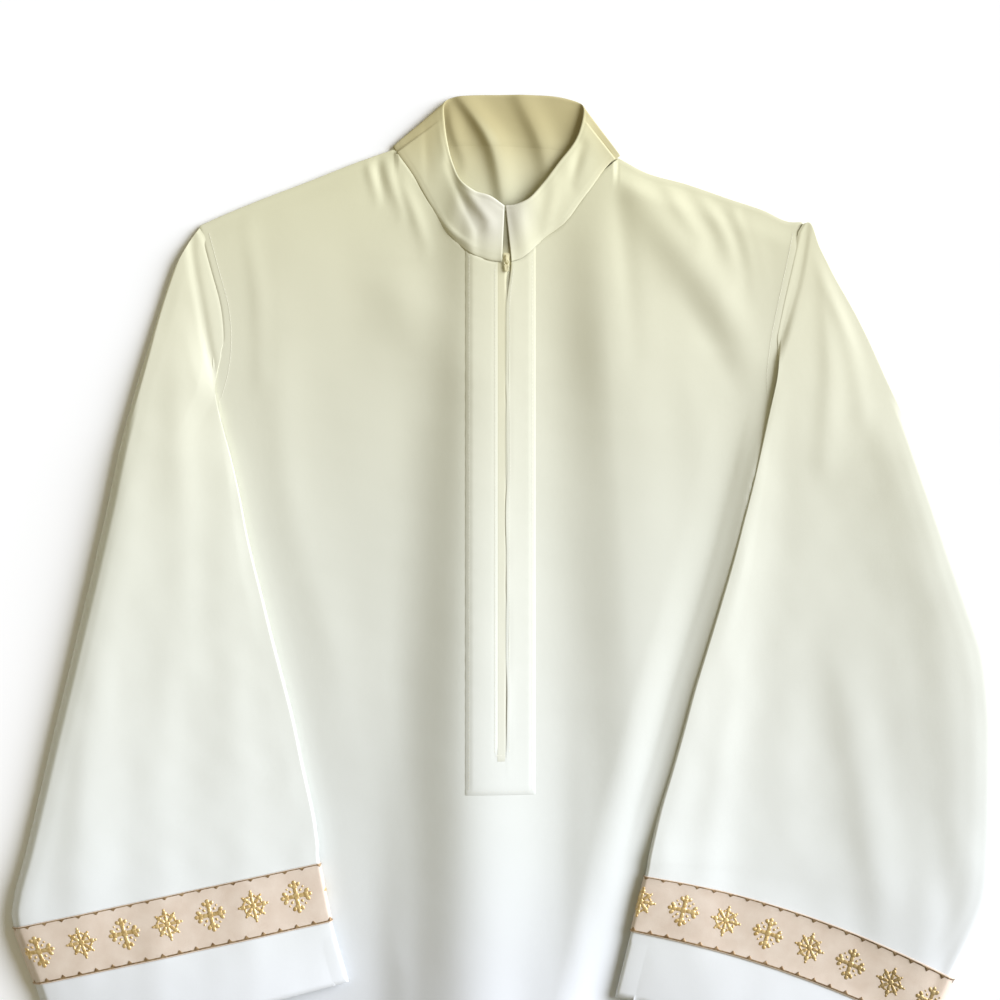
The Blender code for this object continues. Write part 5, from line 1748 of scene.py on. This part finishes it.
def dress(obj, mat, replaces=(), body=BODY):
    """Gives a piece its material and body, and hides the CAD nodes it stands for."""
    obj.data.materials.clear()
    obj.data.materials.append(mat)
    if replaces:
        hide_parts(*replaces)
    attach(obj, body)
    return obj


# ---------------------------------------------------------------- stage
# what the camera sees, and the light from the wearer's left
VIEW_CENTRE = Vector((-4.9 * MM, 391.9 * MM, 8.0 * MM))
VIEW_WIDTH = 820.0 * MM
CAMERA_HEIGHT = 2.3
SENSOR = 36.0
KEY_ELEVATION = math.radians(27.0)
KEY_TURN = math.radians(16.0)
KEY_SOFTNESS = math.radians(46.0)
KEY_STRENGTH = 5.2
KEY_COLOUR = (0.963, 1.008, 1.13)
FILL_STRENGTH = 0.32
FILL_COLOUR = (1.0, 0.905, 0.61, 1.0)


def make_stage():
    """Pale floor, a soft key light, a fill and a camera square above the robe's upper part."""
    bpy.ops.mesh.primitive_plane_add(size=12.0, location=(0.0, 0.0, -0.2 * MM))
    floor = bpy.context.object
    floor.name = "floor"
    mat, _, shader, _ = plain_material("floor_white")
    shader.inputs["Base Color"].default_value = (0.97, 0.97, 0.97, 1.0)
    shader.inputs["Roughness"].default_value = 0.9
    floor.data.materials.append(mat)

    light = bpy.data.lights.new("key", "SUN")
    light.angle = KEY_SOFTNESS
    light.energy = KEY_STRENGTH
    light.color = KEY_COLOUR
    key = bpy.data.objects.new("key", light)
    flat = math.cos(KEY_ELEVATION)
    towards = Vector((flat * math.cos(KEY_TURN), flat * math.sin(KEY_TURN), math.sin(KEY_ELEVATION)))
    key.matrix_world = towards.to_track_quat("Z", "Y").to_matrix().to_4x4()
    bpy.context.scene.collection.objects.link(key)
    world = bpy.data.worlds.new("studio")
    world.use_nodes = True
    back = world.node_tree.nodes["Background"]
    back.inputs["Color"].default_value = FILL_COLOUR
    back.inputs["Strength"].default_value = FILL_STRENGTH
    bpy.context.scene.world = world
    bpy.context.scene.view_settings.view_transform = "Standard"

    camera = bpy.data.cameras.new("camera")
    camera.sensor_width = SENSOR
    camera.lens = SENSOR * CAMERA_HEIGHT / VIEW_WIDTH
    camera.clip_end = 30.0
    obj = bpy.data.objects.new("camera", camera)
    obj.location = VIEW_CENTRE + Vector((0.0, 0.0, CAMERA_HEIGHT))
    bpy.context.scene.collection.objects.link(obj)
    bpy.context.scene.camera = obj


# ---------------------------------------------------------------- the robe
# where the first figure of each galloon lies along it
FIGURE_STARTS = (("right", 23.6 * MM), ("left", 22.9 * MM))


def main():
    """Makes every piece, dresses it and sets the stage."""
    cloth = cloth_material("alb_cloth")
    # the sleeves get lighter copies of the same cloth: painted light for how brightly each lies lit
    sleeve_cloth = {
        "right": cloth_material("alb_cloth_sleeve_right", 1.07),
        "left": cloth_material("alb_cloth_sleeve_left", 1.11),
    }
    neck_cloth = cloth_material("alb_cloth_neck", 1.0, True)
    ribbon = ribbon_material()
    gold = gold_material("gold_yarn", (240, 214, 158), (206, 172, 112), 0.42)
    border = gold_material("border_yarn", (186, 158, 120), (132, 104, 72), 0.5)
    thread = thread_material("sewing_thread", (236, 234, 218))
    # painted shade: the tape is drawn a little darker and tan for the shade in the slit, and darker still at
    # its top
    tape = cloth_material("zip_tape_weave", 0.95, tint=(1.0, 0.98, 0.90), slit=True)
    coil = cloth_material("zip_coil", 0.95)
    enamel = thread_material("zip_enamel", (226, 218, 178), 0.35)

    front = dress(make_front(), cloth, ["front"])
    back = dress(make_back(), neck_cloth, ["back"])
    placket = dress(make_placket(), cloth, ["placket"])
    zip_tape = dress(make_tape(), tape, ["zip_tape"])
    collar = dress(make_collar(), neck_cloth, ["collar"])
    for side, start in FIGURE_STARTS:
        sleeve = dress(make_sleeve(side), sleeve_cloth[side], [f"sleeve_{side}"])
        galloon, band = make_galloon(side)
        dress(galloon, ribbon, [f"galloon_{side}"])
        figures, edges = make_figures(side, band, start)
        dress(figures, gold)
        dress(edges, border)
    dress(make_stitches(), thread)
    dress(make_zip_chain(), coil)
    dress(make_slider(), enamel, ["zip_slider"])
    dress(make_pull(), enamel, ["pull_tab"], "pull")
    make_stage()


main()
bpy.context.view_layer.update()
